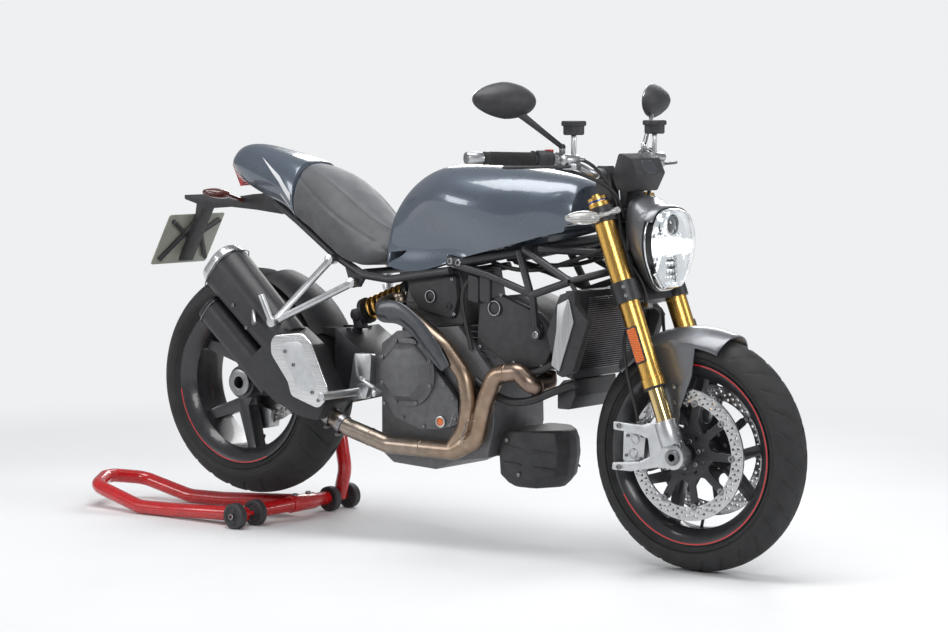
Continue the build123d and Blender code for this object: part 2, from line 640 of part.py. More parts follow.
def hose(points, bends):
    """Adds a hose and prints how its volume compares with its route"""
    with BuildLine() as route:
        FilletPolyline(*points, radius=bends)
    with BuildSketch(Plane(origin=route.line @ 0, z_dir=route.line % 0)) as end_face:
        Circle(hose_radius)
    run = route.wires()[0].length
    swept = sweep(end_face.sketch, path=route.line, mode=Mode.PRIVATE)
    print("hose", round(run), "mm, bends", bends, "share", round(swept.volume / (pi * hose_radius ** 2 * run), 3))
    add(swept)


with BuildPart() as brake_hoses:
    hose([(611, -169.6, 1031.5), (617, -138, 1029), (648, -106, 985), (663, -80, 930), (663, -62, 870),
          (670, -60, 790), (724, -58, 738), (748, -58, 676), (712, -64, 640), (694, -94, 590), (712, -99, 490),
          (732, -82, 400), (735, -80, 353)], [31, 60, 120, 120, 90, 80, 35, 50, 60, 200, 120])
    hose([(738, -58, 664), (720, -30, 658), (720, 30, 658), (712, 64, 640), (694, 94, 590), (712, 99, 490),
          (732, 82, 400), (735, 80, 353)], [40, 50, 50, 60, 200, 120])
finish_piece(brake_hoses, "brake_hoses")

# Frame: head tube and the trellis down to the engine's heads
head_low = lower_clamp_top + 2
head_high = upper_clamp_bottom - 2
trellis = [
    ((616, -18, 834), (190, -132, 757), main_tube_radius),
    ((642, -16, 790), (447, -112, 800), small_tube_radius),
    ((400, -108, 797), (556, -128, 722), small_tube_radius),
    ((556, -128, 722), (655, -18, 757), small_tube_radius),
    ((556, -128, 722), (440, -128, 684), small_tube_radius),
    ((303, -128, 727), (440, -128, 684), small_tube_radius),
    ((440, -128, 684), (452, -128, 585), small_tube_radius),
    ((383, -110, 792), (432, -128, 690), small_tube_radius),
    ((303, -128, 727), (196, -130, 750), small_tube_radius),
]
with BuildPart() as frame:
    for start, end, tube_radius in trellis:
        rod(start, end, tube_radius)
    across_drum(452, 585, 17, -136, -114.3)
    slab([(170, 775), (222, 768), (216, 747.5), (170, 747.5)], -137, -124)
    mirror(about=Plane.XZ)
    across_drum(452, 585, 17, 92.3, 136)
    rod((400, -108, 797), (400, 108, 797), small_tube_radius)
    rod(fork_place(head_low, -fork_offset), fork_place(head_high, -fork_offset), head_tube_radius)
    rod(fork_place(head_low - 1, -fork_offset), fork_place(head_high + 1, -fork_offset),
        bearing_radius + fit_gap, mode=Mode.SUBTRACT)
finish_piece(frame, "frame")

# Rear subframe under the seat, bolted to the frame behind the rear cylinder
with BuildPart() as rear_subframe:
    bent_tube([(176, -129, 736), (-30, -126, 704), (-130, -118, 712), (-236, -104, 758), (-400, -72, 848),
               (-500, -52, 898)], 11, [60, 90, 90, 90])
    slab([(-196, 733), (-116, 722), (-146, 678), (-176, 678)], -116, -106)
    mirror(about=Plane.XZ)
    rod((-130, -112, 719), (-130, 112, 719), 9)
    rod((-486, -54, 889), (-486, 54, 889), 8)
finish_piece(rear_subframe, "rear_subframe")

# Pillion hangers: two tubes meeting at the folding peg on each side
peg_x = -334
peg_z = 584
with BuildPart() as pillion_hangers:
    rod((-238, -124, 750), (peg_x, -246, peg_z + 4), 10)
    rod((-161, -124, 690), (peg_x, -246, peg_z), 10)
    across_drum(-238, 750, 14, -136, -110)
    across_drum(-161, 690, 14, -136, -116.3)
    across_drum(peg_x, peg_z, 14, -264, -234)
    rod((peg_x - 4, -258, peg_z + 4), (peg_x - 34, -264, peg_z + 72), 8)
    mirror(about=Plane.XZ)
    add(rear_subframe.part, mode=Mode.SUBTRACT)
finish_piece(pillion_hangers, "pillion_hangers")

# Engine: crankcase with the swingarm lugs, two cylinders at right angles and their belt covers
case_half = 112
with BuildPart() as crankcase:
    slab([(-72, 240), (-72, 530), (-20, 566), (186, 590), (232, 546), (300, 470), (304, 330), (284, 250),
          (176, 232), (112, 205), (-32, 212)], -case_half, case_half)
    for lug_low in (-case_half, lug_inner_y):
        slab([(-71, 500), (-118, 486), (-152, 462), (-152, 432), (-118, 408), (-71, 396)],
             lug_low, lug_low + case_half - lug_inner_y)
    across_drum(swing_pivot.X, swing_pivot.Z, pivot_bolt_radius, -case_half, case_half)
    slab([(60, 300), (134, 300), (126, 246), (66, 246)], case_half - 1, case_half + 20, corner=8)
    across_drum(stand_pivot_x, stand_pivot_z, 9, case_half + 19, stand_y + 16)
finish_piece(crankcase, "crankcase")

with BuildPart() as cylinders:
    slab([(-20, 566.3), (-2, 640), (6, 716), (60, 734), (178, 734), (196, 640), (186, 590.3)], -92, 92)
    slab([(232.3, 546.3), (250, 640), (330, 676), (440, 640), (512, 572), (470, 492), (372, 470), (300.3, 470.3)],
         -92, 92)
finish_piece(cylinders, "cylinders")

with BuildPart() as belt_covers:
    slab([(14, 706), (40, 716), (178, 722), (186, 660), (168, 606), (60, 626), (30, 662)], -114, -92.3, corner=10)
    slab([(250, 560), (258, 656), (330, 678), (446, 636), (504, 572), (468, 500), (372, 482)], -114, -92.3,
         corner=12)
finish_piece(belt_covers, "belt_covers")

# Engine covers: clutch on the right, alternator and front sprocket on the left
clutch_x = 42
clutch_z = 462
front_sprocket = Vector(-48, 0, 447)
with BuildPart() as engine_covers:
    with BuildSketch(Plane(origin=(clutch_x, -case_half - fit_gap, clutch_z), x_dir=(1, 0, 0), z_dir=(0, -1, 0))):
        Circle(92)
    extrude(amount=34)
    with BuildSketch(Plane(origin=(clutch_x, -case_half - 34, clutch_z), x_dir=(1, 0, 0), z_dir=(0, -1, 0))):
        RegularPolygon(84, 8, rotation=22.5)
    extrude(amount=26, taper=32)
    slab([(60, 540), (122, 483), (204, 396), (206, 334), (150, 316), (77, 312), (-10, 340), (-60, 420),
          (-20, 500)], -case_half - 24, -case_half - fit_gap, corner=14)
    with BuildSketch(Plane(origin=(96, case_half + fit_gap, 410), x_dir=(-1, 0, 0), z_dir=(0, 1, 0))):
        Circle(88)
    extrude(amount=26)
    with BuildSketch(Plane(origin=(96, case_half + 26, 410), x_dir=(-1, 0, 0), z_dir=(0, 1, 0))):
        Circle(74)
    extrude(amount=16, taper=25)
    slab([(-100, 500), (-10, 518), (6, 470), (2, 392), (-60, 374), (-100, 392)], chain_y + 8, chain_y + 15,
         corner=12)
    across_drum(front_sprocket.X, front_sprocket.Z, 24, case_half + fit_gap, chain_y + 8)
    across_drum(front_sprocket.X, front_sprocket.Z, front_sprocket_radius - 6, chain_y - 4, chain_y + 4)
finish_piece(engine_covers, "engine_covers")

# Drive chain round both sprockets
with BuildPart() as drive_chain:
    for grow, mode in ((9, Mode.ADD), (-5.4, Mode.SUBTRACT)):
        with BuildSketch(side(chain_y + 6)):
            with Locations((front_sprocket.X, front_sprocket.Z)):
                Circle(front_sprocket_radius + grow)
            with Locations((rear_axle.X, rear_axle.Z)):
                Circle(chain_half_pitch_line + grow)
            make_hull()
        extrude(amount=12, mode=mode)
finish_piece(drive_chain, "drive_chain")

# Exhaust: two headers on the right, the collector and two stacked silencers
header_radius = 24
with BuildPart() as exhaust_headers:
    bent_tube([(430, -50, 476.5), (438, -56, 452), (444, -132, 446), (404, -136, 484), (330, -138, 474),
               (298, -140, 400), (272, -142, 300), (196, -142, 264), (-20, -146, 264), (-150, -160, 302),
               (-250, -168, 350)], header_radius, [11, 26, 24, 40, 50, 50, 44, 60, 60])
    bent_tube([(-20.5, -70, 646), (-56, -76, 642), (-56, -136, 630), (56, -141, 604), (168, -142, 536),
               (236, -143, 462), (248, -144, 396), (234, -142, 326), (192, -141, 268)],
              header_radius - 1, [26, 26, 120, 90, 70, 60, 40])
finish_piece(exhaust_headers, "exhaust_headers")

axis_slope = Vector(-0.753, 0, 0.659)
across_slope = Vector(0.659, 0, 0.753)


def can_plane(start, along):
    """Plane square to a silencer at a distance from its front"""
    return Plane(origin=Vector(*start) + axis_slope * along, x_dir=across_slope, z_dir=axis_slope)


upper_can_start = (-352, -172, 518)
lower_can_start = (-396, -168, 402)
upper_can_length = 302
lower_can_length = 300
with BuildPart() as silencers:
    with BuildSketch(can_plane(upper_can_start, 0)):
        RectangleRounded(118, 108, 44)
    with BuildSketch(can_plane(upper_can_start, upper_can_length)):
        RectangleRounded(138, 116, 52)
    loft()
    with BuildSketch(can_plane(lower_can_start, 0)):
        RectangleRounded(84, 92, 30)
    with BuildSketch(can_plane(lower_can_start, lower_can_length)):
        RectangleRounded(88, 96, 34)
    loft()
    slab([(-446, 478), (-330, 566), (-262, 520), (-176, 372), (-206, 322), (-270, 330), (-362, 366),
          (-452, 432)], -222, -126, corner=14)
    rod((-150, -160, 302), (-262, -169, 356), header_radius + 0.3, mode=Mode.SUBTRACT)
    with BuildSketch(can_plane(upper_can_start, upper_can_length + fit_gap)):
        RectangleRounded(138, 116, 52)
        Circle(27, mode=Mode.SUBTRACT)
    extrude(amount=26, taper=14)
    with BuildSketch(can_plane(lower_can_start, lower_can_length + fit_gap)):
        RectangleRounded(88, 96, 34)
        Circle(24, mode=Mode.SUBTRACT)
    extrude(amount=14, taper=10)
finish_piece(silencers, "silencers")

# Guards: polished plate by the rider's heel and the shield over the rear header
with BuildPart() as exhaust_guards:
    slab([(-354, 528), (-340, 546), (-244, 556), (-211, 530), (-153, 412), (-164, 378), (-186, 360), (-278, 387),
          (-290, 424), (-352, 496)], -244, -236, corner=6)
    across_drum(-270, 470, 9, -237, -222.3)
    across_drum(-204, 400, 9, -237, -222.3)
    slab([(-44, 622), (-22, 650), (40, 648), (112, 606), (168, 546), (206, 486), (190, 470), (150, 486),
          (96, 548), (30, 590), (-36, 596)], -178, -170, corner=8)
    across_drum(56, 604, 7, -171, -164.4)
    across_drum(168, 536, 7, -171, -165.4)
finish_piece(exhaust_guards, "exhaust_guards")

# Radiator with the cooler below it, and the side covers with their silver inserts
with BuildPart() as radiator:
    slab([(536, 490), (578, 478), (610, 640), (596, 700), (560, 700)], -150, 150)
    slab([(494, 448), (512, 466), (548, 472), (548, 426), (530, 392), (494, 392)], -92, 92, corner=4)
    slab([(510, 455), (540, 462), (560, 500), (540, 500)], -30, 30)
    for across in (-128, 128):
        rod((578, across, 694), (560, across, 718), 6)
    add(frame.part, mode=Mode.SUBTRACT)
finish_piece(radiator, "radiator")

with BuildPart() as radiator_covers:
    slab([(560, 692), (604, 706), (606, 668), (646, 626), (600, 500), (568, 484), (552, 490), (520, 591),
          (546, 660)], -178, -150.3, corner=5)
    slab([(591, 684), (556, 668), (553, 602), (538, 514), (562, 498), (606, 625)], -184, -178.3, corner=4)
    mirror(about=Plane.XZ)
finish_piece(radiator_covers, "radiator_covers")

# Belly pan: an open tub with a pointed nose
pan_plan = [(316, -104), (400, -100), (470, -56), (484, 0), (470, 56), (400, 100), (316, 104)]
pan_side = [(312, 316), (308, 205), (342, 174), (440, 174), (490, 214), (498, 264), (492, 330), (372, 300)]
with BuildPart() as belly_pan:
    with BuildSketch(Plane.XY.offset(170)) as plan:
        with BuildLine():
            Polyline(*pan_plan, close=True)
        make_face()
    extrude(amount=180)
    slab(pan_side, -120, 120, mode=Mode.INTERSECT)
    with BuildSketch(Plane.XY.offset(174 + plate_wall)):
        offset(plan.sketch, amount=-plate_wall)
    extrude(amount=180, mode=Mode.SUBTRACT)
    slab([(318, 268), (318, 209), (340, 190), (302, 190), (302, 268)], -90, 90)
    for across in (-60, 60):
        rod((276, across, 256), (304, across, 256), 7)
    add(crankcase.part, mode=Mode.SUBTRACT)
finish_piece(belly_pan, "belly_pan")

cap_x = 300
cap_z = 1016.5
cap_radius = 40
hinge_x = cap_x + cap_radius + 3

# Fuel tank, lofted from half-profiles given as (out, up) from the skirt to the crown
tank_stations = [
    (-64, [(98, 746), (92, 790), (80, 830), (52, 858), (0, 868)]),
    (-30, [(116, 735), (98, 800), (98, 860), (66, 915), (0, 930)]),
    (40, [(128, 729), (108, 806), (118, 900), (84, 964), (0, 982)]),
    (130, [(134, 744), (124, 826), (150, 930), (100, 994), (0, 1009)]),
    (220, [(137, 771), (148, 850), (166, 908), (112, 994), (0, 1015)]),
    (320, [(137, 796), (158, 860), (161, 904), (106, 990), (0, 1011)]),
    (420, [(130, 822), (138, 866), (139, 906), (92, 980), (0, 1000)]),
    (500, [(112, 842), (114, 870), (114, 906), (78, 966), (0, 984)]),
    (538, [(94, 852), (96, 874), (96, 902), (66, 946), (0, 960)]),
]


def tank_section(x, profile):
    """Draws one tank cross-section from its half-profile"""
    with BuildSketch(Plane(origin=(x, 0, 0), x_dir=(0, 1, 0), z_dir=(1, 0, 0))) as section:
        with BuildLine():
            Line((-profile[0][0], profile[0][1]), profile[0])
            Spline(*profile, *[(-out, up) for out, up in reversed(profile[:-1])])
        make_face()
    return section.sketch


with BuildPart() as fuel_tank:
    loft([tank_section(*station) for station in tank_stations])
    slab([(-54, 700), (-54, 775), (80, 790), (560, 872), (600, 872), (600, 700)], -104, 104, mode=Mode.SUBTRACT)
    for start, end, tube_radius in trellis:
        rod(start, end, tube_radius + 2, mode=Mode.SUBTRACT)
        rod((start[0], -start[1], start[2]), (end[0], -end[1], end[2]), tube_radius + 2, mode=Mode.SUBTRACT)
    for across in (-132, 132):
        slab([(166, 779), (226, 771), (218, 700), (166, 700)], across - 8, across + 8, mode=Mode.SUBTRACT)
    with BuildSketch(Plane.XY.offset(960)):
        with Locations((cap_x, 0)):
            Circle(cap_radius + 8)
    extrude(amount=cap_z - fit_gap - 960)
    for across in (-17, 10):
        slab([(hinge_x - 2.4, cap_z - 14), (hinge_x - 2.4, cap_z + 7), (hinge_x + 1, cap_z + 9),
              (hinge_x + 6, cap_z + 5), (hinge_x + 8, cap_z - 14)], across, across + 7)
    across_drum(hinge_x, cap_z + 5, 1.94, -12, 12)
finish_piece(fuel_tank, "fuel_tank")

# Fuel cap on its ring, hinged at the front edge
with BuildPart() as fuel_cap:
    with BuildSketch(Plane.XY.offset(cap_z)):
        with Locations((cap_x, 0)):
            Circle(cap_radius)
    extrude(amount=8)
    with BuildSketch(Plane.XY.offset(cap_z + 8)):
        with Locations((cap_x, 0)):
            Circle(cap_radius - 10)
    extrude(amount=3)
    across_drum(hinge_x, cap_z + 5, 4, -9, 9)
    slab([(hinge_x - 9, cap_z + 8), (hinge_x, cap_z + 9), (hinge_x, cap_z + 1), (hinge_x - 9, cap_z)], -9, 9)
    across_drum(hinge_x, cap_z + 5, 2, -10, 10, mode=Mode.SUBTRACT)
finish_piece(fuel_cap, "fuel_cap")

# Saddle with its raised back
saddle_stations = [
    (-66, 822, 750, 86),
    (-120, 842, 734, 116),
    (-200, 906, 752, 134),
    (-270, 960, 790, 128),
    (-340, 992, 834, 116),
    (-392, 1008, 862, 106),
]
with BuildPart() as saddle:
    for x, top, bottom, half in saddle_stations:
        with BuildSketch(Plane(origin=(x, 0, 0), x_dir=(0, 1, 0), z_dir=(1, 0, 0))):
            with BuildLine():
                Line((-half, bottom), (half, bottom))
                Spline((half, bottom), (half * 0.94, bottom + (top - bottom) * 0.6), (half * 0.5, top - 8),
                       (0, top), (-half * 0.5, top - 8), (-half * 0.94, bottom + (top - bottom) * 0.6),
                       (-half, bottom))
            make_face()
    loft()
    add(rear_subframe.part, mode=Mode.SUBTRACT)
finish_piece(saddle, "saddle")

# Tail cowl with the lamp let into its end
tail_stations = [
    (-392.6, 1010, 852, 106),
    (-460, 1030, 896, 94),
    (-560, 1052, 928, 72),
    (-640, 1054, 964, 52),
    (-676, 1036, 984, 34),
]
with BuildPart() as tail_cowl:
    for x, top, bottom, half in tail_stations:
        with BuildSketch(Plane(origin=(x, 0, 0), x_dir=(0, 1, 0), z_dir=(1, 0, 0))):
            with BuildLine():
                Line((-half * 0.8, bottom), (half * 0.8, bottom))
                Spline((half * 0.8, bottom), (half, bottom + (top - bottom) * 0.5), (half * 0.6, top - 8),
                       (0, top), (-half * 0.6, top - 8), (-half, bottom + (top - bottom) * 0.5),
                       (-half * 0.8, bottom))
            make_face()
    loft()
    add(rear_subframe.part, mode=Mode.SUBTRACT)
finish_piece(tail_cowl, "tail_cowl")

with BuildPart() as tail_light:
    slab([(-680, 1000), (-650, 938), (-612, 944), (-606, 970)], -34, 34)
    add(tail_cowl.part, mode=Mode.SUBTRACT)
finish_piece(tail_light, "tail_light")

# Arm behind the tail for the plate and the rear indicators
with BuildPart() as plate_bracket:
    slab([(-470, 884), (-560, 920), (-610, 916), (-700, 904), (-800, 912), (-878, 908), (-876, 896), (-830, 884),
          (-836, 850), (-905, 720), (-893, 716), (-806, 870), (-700, 878), (-600, 872), (-500, 862)],
         -24, 24, corner=3)
    rod((-846, 0, 838), (-912, -96, 722), 7)
    rod((-846, 0, 838), (-912, 96, 722), 7)
    rod((-880, 0, 778), (-850, -96, 834), 7)
    rod((-880, 0, 778), (-850, 96, 834), 7)
    add(rear_subframe.part, mode=Mode.SUBTRACT)
finish_piece(plate_bracket, "plate_bracket")

plate_normal = Vector(-0.874, 0, 0.485)
with BuildPart() as number_plate:
    with BuildSketch(Plane(origin=(-887.2, 0, 781), x_dir=(0, 1, 0), z_dir=plate_normal)):
        RectangleRounded(229, 165, 8)
    extrude(amount=2.5)
finish_piece(number_plate, "number_plate")

with BuildPart() as rear_indicators:
    for hand in (-1, 1):
        rod((-650, hand * 26.2, 898), (-652, hand * 92, 916), 7)
        with BuildSketch(Plane(origin=(-652, hand * 88, 916), z_dir=(-0.35, hand, 0.1))):
            Ellipse(16, 11)
        with BuildSketch(Plane(origin=(-664, hand * 122, 920), z_dir=(-0.35, hand, 0.1))):
            Ellipse(22, 14)
        with BuildSketch(Plane(origin=(-676, hand * 156, 924), z_dir=(-0.35, hand, 0.1))):
            Ellipse(10, 7)
        loft()
finish_piece(rear_indicators, "rear_indicators")

# Rear shock absorber with its spring
shock_low = Vector(-250, 0, 590)
shock_high = Vector(0, 0, 688)
shock_run = shock_high - shock_low
with BuildPart() as rear_shock:
    rod(shock_low, shock_high, 18)
    rod(shock_low + shock_run * 0.12, shock_low + shock_run * 0.17, 36)
    rod(shock_low + shock_run * 0.17, shock_low + shock_run * 0.75, 32)
    rod(shock_low + shock_run * 0.75, shock_low + shock_run * 0.8, 36)
    slab([(-262, 604), (-236, 604), (-222, 548), (-249, 548)], -14, 14)
    add(swingarm.part, mode=Mode.SUBTRACT)
    add(cylinders.part, mode=Mode.SUBTRACT)
finish_piece(rear_shock, "rear_shock")

# Short rear mudguard ahead of the tyre
hugger_gap = 12
with BuildPart() as rear_mudguard:
    hug_half = rear_tyre_width / 2 - 12
    tilt = radians(28)
    section = Plane(origin=rear_axle, x_dir=(0, 1, 0), z_dir=(sin(tilt), 0, -cos(tilt)))
    with BuildSketch(section):
        with BuildLine():
            inner = rear_tyre_radius + hugger_gap
            ThreePointArc((-hug_half, inner - 22), (0, inner), (hug_half, inner - 22))
            Line((hug_half, inner - 22), (hug_half, inner - 22 + plate_wall))
            ThreePointArc((hug_half, inner - 22 + plate_wall), (0, inner + plate_wall),
                          (-hug_half, inner - 22 + plate_wall))
            Line((-hug_half, inner - 22 + plate_wall), (-hug_half, inner - 22))
        make_face()
    revolve(axis=Axis(rear_axle, (0, -1, 0)), revolution_arc=44)
    for across in (-46, 46):
        slab([(-240, 558), (-240, 524), (-330, 538), (-337, 556)], across - 6, across + 6)
    add(swingarm.part, mode=Mode.SUBTRACT)
finish_piece(rear_mudguard, "rear_mudguard")

# Rider's footrests with their plates, the brake pedal and the gear lever
left_plate_y = chain_y + 16
with BuildPart() as rider_footrests:
    slab([(-150, 500), (-90, 500), (-96, 420), (-110, 380), (-170, 372), (-168, 404), (-160, 440)],
         -134, -case_half - fit_gap, corner=8)
    across_drum(-138, 397, 11, -285, -133)
    slab([(-160, 424), (-76, 540), (-46, 540), (-46, 516), (-96, 420), (-48, 372), (-48, 346), (-76, 346),
          (-164, 380)], left_plate_y, left_plate_y + 7)
    across_drum(-61, 528, 8, case_half + fit_gap, left_plate_y + 1)
    across_drum(-62, 359, 8, case_half + fit_gap, left_plate_y + 1)
    across_drum(-138, 397, 11, left_plate_y + 6, 285)
finish_piece(rider_footrests, "rider_footrests")

with BuildPart() as foot_controls:
    bent_tube([(-118, -144, 430), (-60, -152, 412), (-6, -196, 406), (-6, -226, 406)], 6, [20, 10])
    across_drum(-118, 430, 11, -150, -134.3)
    bent_tube([(-110, left_plate_y + 17, 420), (-60, 196, 402), (-6, 200, 396), (-6, 232, 396)], 6, [20, 10])
    across_drum(-110, 420, 11, left_plate_y + 7.3, left_plate_y + 24)
finish_piece(foot_controls, "foot_controls")

# Side stand, folded back along the left side
with BuildPart() as side_stand:
    across_drum(stand_pivot_x, stand_pivot_z, 20, stand_y - 9, stand_y + 9)
    bent_tube([(stand_pivot_x - 16, stand_y, stand_pivot_z - 2), (stand_pivot_x - 104, stand_y + 6, 258),
               (stand_pivot_x - 205, stand_y + 26, 266)], 10, [120])
    with BuildSketch(Plane(origin=(stand_pivot_x - 205, stand_y + 26, 266), z_dir=(-1, 0.15, 0.05))):
        Ellipse(16, 22)
    extrude(amount=10)
    across_drum(stand_pivot_x, stand_pivot_z, 9 + pin_gap, stand_y - 10, stand_y + 10, mode=Mode.SUBTRACT)
finish_piece(side_stand, "side_stand")

# Paddock stand: rear loop, two arms, cross tube on casters and the upright to the hub pin
caster_x = rear_axle.X + 120
cross_z = 40
near_y = -191
upright_y = 212
cross_near = near_y + 56
cross_far = upright_y - 57
with BuildPart() as paddock_stand:
    bent_tube([(caster_x, near_y, caster_radius), (-800, near_y, 21), (-900, -196, stand_tube_radius),
               (-1092, -178, 62), (-1140, -96, 74), (-1140, -56, 74), (-1096, 22, 62),
               (-930, 44, stand_tube_radius), (-800, 50, 22), (caster_x - 16, 66, cross_z)],
              stand_tube_radius, [300, 120, 60, 36, 36, 60, 120, 300])
    rod((caster_x, cross_near, cross_z), (caster_x, cross_far, cross_z), stand_tube_radius)
    rod((caster_x, -4, cross_z), (caster_x, 96, cross_z), stand_tube_radius + 4)
    bent_tube([(caster_x, upright_y, caster_radius), (caster_x + 22, upright_y, 120), (caster_x + 2, upright_y, 230),
               (rear_axle.X + 34, upright_y, 330), (rear_axle.X, upright_y, rear_axle.Z)], stand_tube_radius,
              [90, 120, 90])
    across_drum(rear_axle.X, rear_axle.Z, 27, axle_left + 2, upright_y + 22)
    across_drum(rear_axle.X, rear_axle.Z, stand_pin_radius, axle_left - 90, axle_left + 2)
    rod((caster_x, near_y - 56, caster_radius), (caster_x, cross_near + 8, caster_radius), 6)
    rod((caster_x, cross_far - 8, caster_radius), (caster_x, upright_y + 58, caster_radius), 6)
finish_piece(paddock_stand, "paddock_stand")


def add_casters(y_centres):
    """Adds small wheels standing on the floor, bored for their axle bolt"""
    for y in y_centres:
        across_drum(caster_x, caster_radius, caster_radius, y - caster_width / 2, y + caster_width / 2)
        across_drum(caster_x, caster_radius, 6 + pin_gap, y - caster_width / 2 - 1, y + caster_width / 2 + 1,
                    mode=Mode.SUBTRACT)


with BuildPart() as stand_wheels_right:
    add_casters((near_y - 41, near_y + 41))
finish_piece(stand_wheels_right, "stand_wheels_right")

with BuildPart() as stand_wheels_left:
    add_casters((upright_y - 42, upright_y + 43))
finish_piece(stand_wheels_left, "stand_wheels_left")
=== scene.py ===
import json
import math

import bmesh
import bpy
from mathutils import Matrix, Vector

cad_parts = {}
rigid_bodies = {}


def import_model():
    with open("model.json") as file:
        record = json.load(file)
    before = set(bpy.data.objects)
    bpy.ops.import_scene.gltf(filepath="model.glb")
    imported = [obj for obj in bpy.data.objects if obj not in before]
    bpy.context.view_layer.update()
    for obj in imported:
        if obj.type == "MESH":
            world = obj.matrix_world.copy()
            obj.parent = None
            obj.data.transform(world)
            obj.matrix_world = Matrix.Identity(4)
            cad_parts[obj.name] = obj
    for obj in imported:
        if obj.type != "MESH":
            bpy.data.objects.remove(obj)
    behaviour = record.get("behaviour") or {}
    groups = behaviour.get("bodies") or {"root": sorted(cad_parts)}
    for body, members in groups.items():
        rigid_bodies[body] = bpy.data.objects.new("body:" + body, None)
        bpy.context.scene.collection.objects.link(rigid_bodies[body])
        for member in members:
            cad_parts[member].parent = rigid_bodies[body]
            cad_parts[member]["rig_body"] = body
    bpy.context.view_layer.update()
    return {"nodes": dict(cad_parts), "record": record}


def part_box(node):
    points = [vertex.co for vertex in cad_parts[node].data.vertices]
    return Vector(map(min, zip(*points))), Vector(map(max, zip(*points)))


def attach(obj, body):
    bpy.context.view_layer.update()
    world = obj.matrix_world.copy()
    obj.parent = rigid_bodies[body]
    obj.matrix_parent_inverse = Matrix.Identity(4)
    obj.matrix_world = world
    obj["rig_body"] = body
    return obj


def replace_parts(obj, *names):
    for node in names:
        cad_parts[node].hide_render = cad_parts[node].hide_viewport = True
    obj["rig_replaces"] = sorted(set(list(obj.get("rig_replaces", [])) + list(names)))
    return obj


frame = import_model()
nodes = frame["nodes"]

# Driving values, in metres and radians, from the frame
front_axle = (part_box("front_rim")[0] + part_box("front_rim")[1]) / 2
rear_axle = (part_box("rear_rim")[0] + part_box("rear_rim")[1]) / 2
front_axle.y = 0.0
rear_axle.y = 0.0
rake = math.radians(20.8)
fork_up = Vector((-math.sin(rake), 0.0, math.cos(rake)))
fork_ahead = Vector((math.cos(rake), 0.0, math.sin(rake)))
wheel_axis = Vector((0.0, 1.0, 0.0))
mm = 0.001

# Sizes that several pieces share: metres, and millimetres where the name says so
front_bead_half = 0.0445
rear_bead_half = 0.076
hub_bore = 0.0246
front_disc_across = 0.0585
leg_across_mm = 107
leg_top_mm = 664
leg_bottom_mm = 182
hose_radius = 0.0045
belt_cover_face_mm = -114
backdrop_white = (0.86, 0.87, 0.88, 1.0)


def fork_point(up, ahead, side):
    """A place on the fork: millimetres up the legs, ahead of them and to the left."""
    place = front_axle + fork_up * (up * mm) + fork_ahead * (ahead * mm)
    return Vector((place.x, side * mm, place.z))


def at(x, y, z):
    """A place given in millimetres."""
    return Vector((x * mm, y * mm, z * mm))


def spoke(radius, angle, across=0.0):
    """A place round an axle that lies across the machine."""
    return Vector((radius * math.cos(angle), across, radius * math.sin(angle)))


def turns(count, first=0.0):
    """Evenly spaced angles; first is a share of one step."""
    return [math.tau * (i + first) / count for i in range(count)]


def oblong(half_wide, half_tall):
    return [(-half_wide, -half_tall), (half_wide, -half_tall), (half_wide, half_tall),
            (-half_wide, half_tall)]


def flowed(p, f):
    """A place between the second and third of four points, on the smooth line through them."""
    return 0.5 * (2 * p[1] + (p[2] - p[0]) * f + (2 * p[0] - 5 * p[1] + 4 * p[2] - p[3]) * f * f
                  + (3 * p[1] - p[0] - 3 * p[2] + p[3]) * f ** 3)


# Camera: the photograph's viewing angle, fitted to the wheels
camera_place = Vector((4.33454, -5.47966, 1.17082))
camera_line = Vector((-0.6045, 0.79242, -0.08151))
camera_data = bpy.data.cameras.new("camera")
camera_data.lens = 98.7
camera_data.sensor_width = 36.0
camera = bpy.data.objects.new("camera", camera_data)
bpy.context.scene.collection.objects.link(camera)
camera.location = camera_place
camera.rotation_mode = "QUATERNION"
camera.rotation_quaternion = camera_line.to_track_quat("-Z", "Y")
bpy.context.scene.camera = camera
bpy.context.scene.view_settings.view_transform = "Standard"


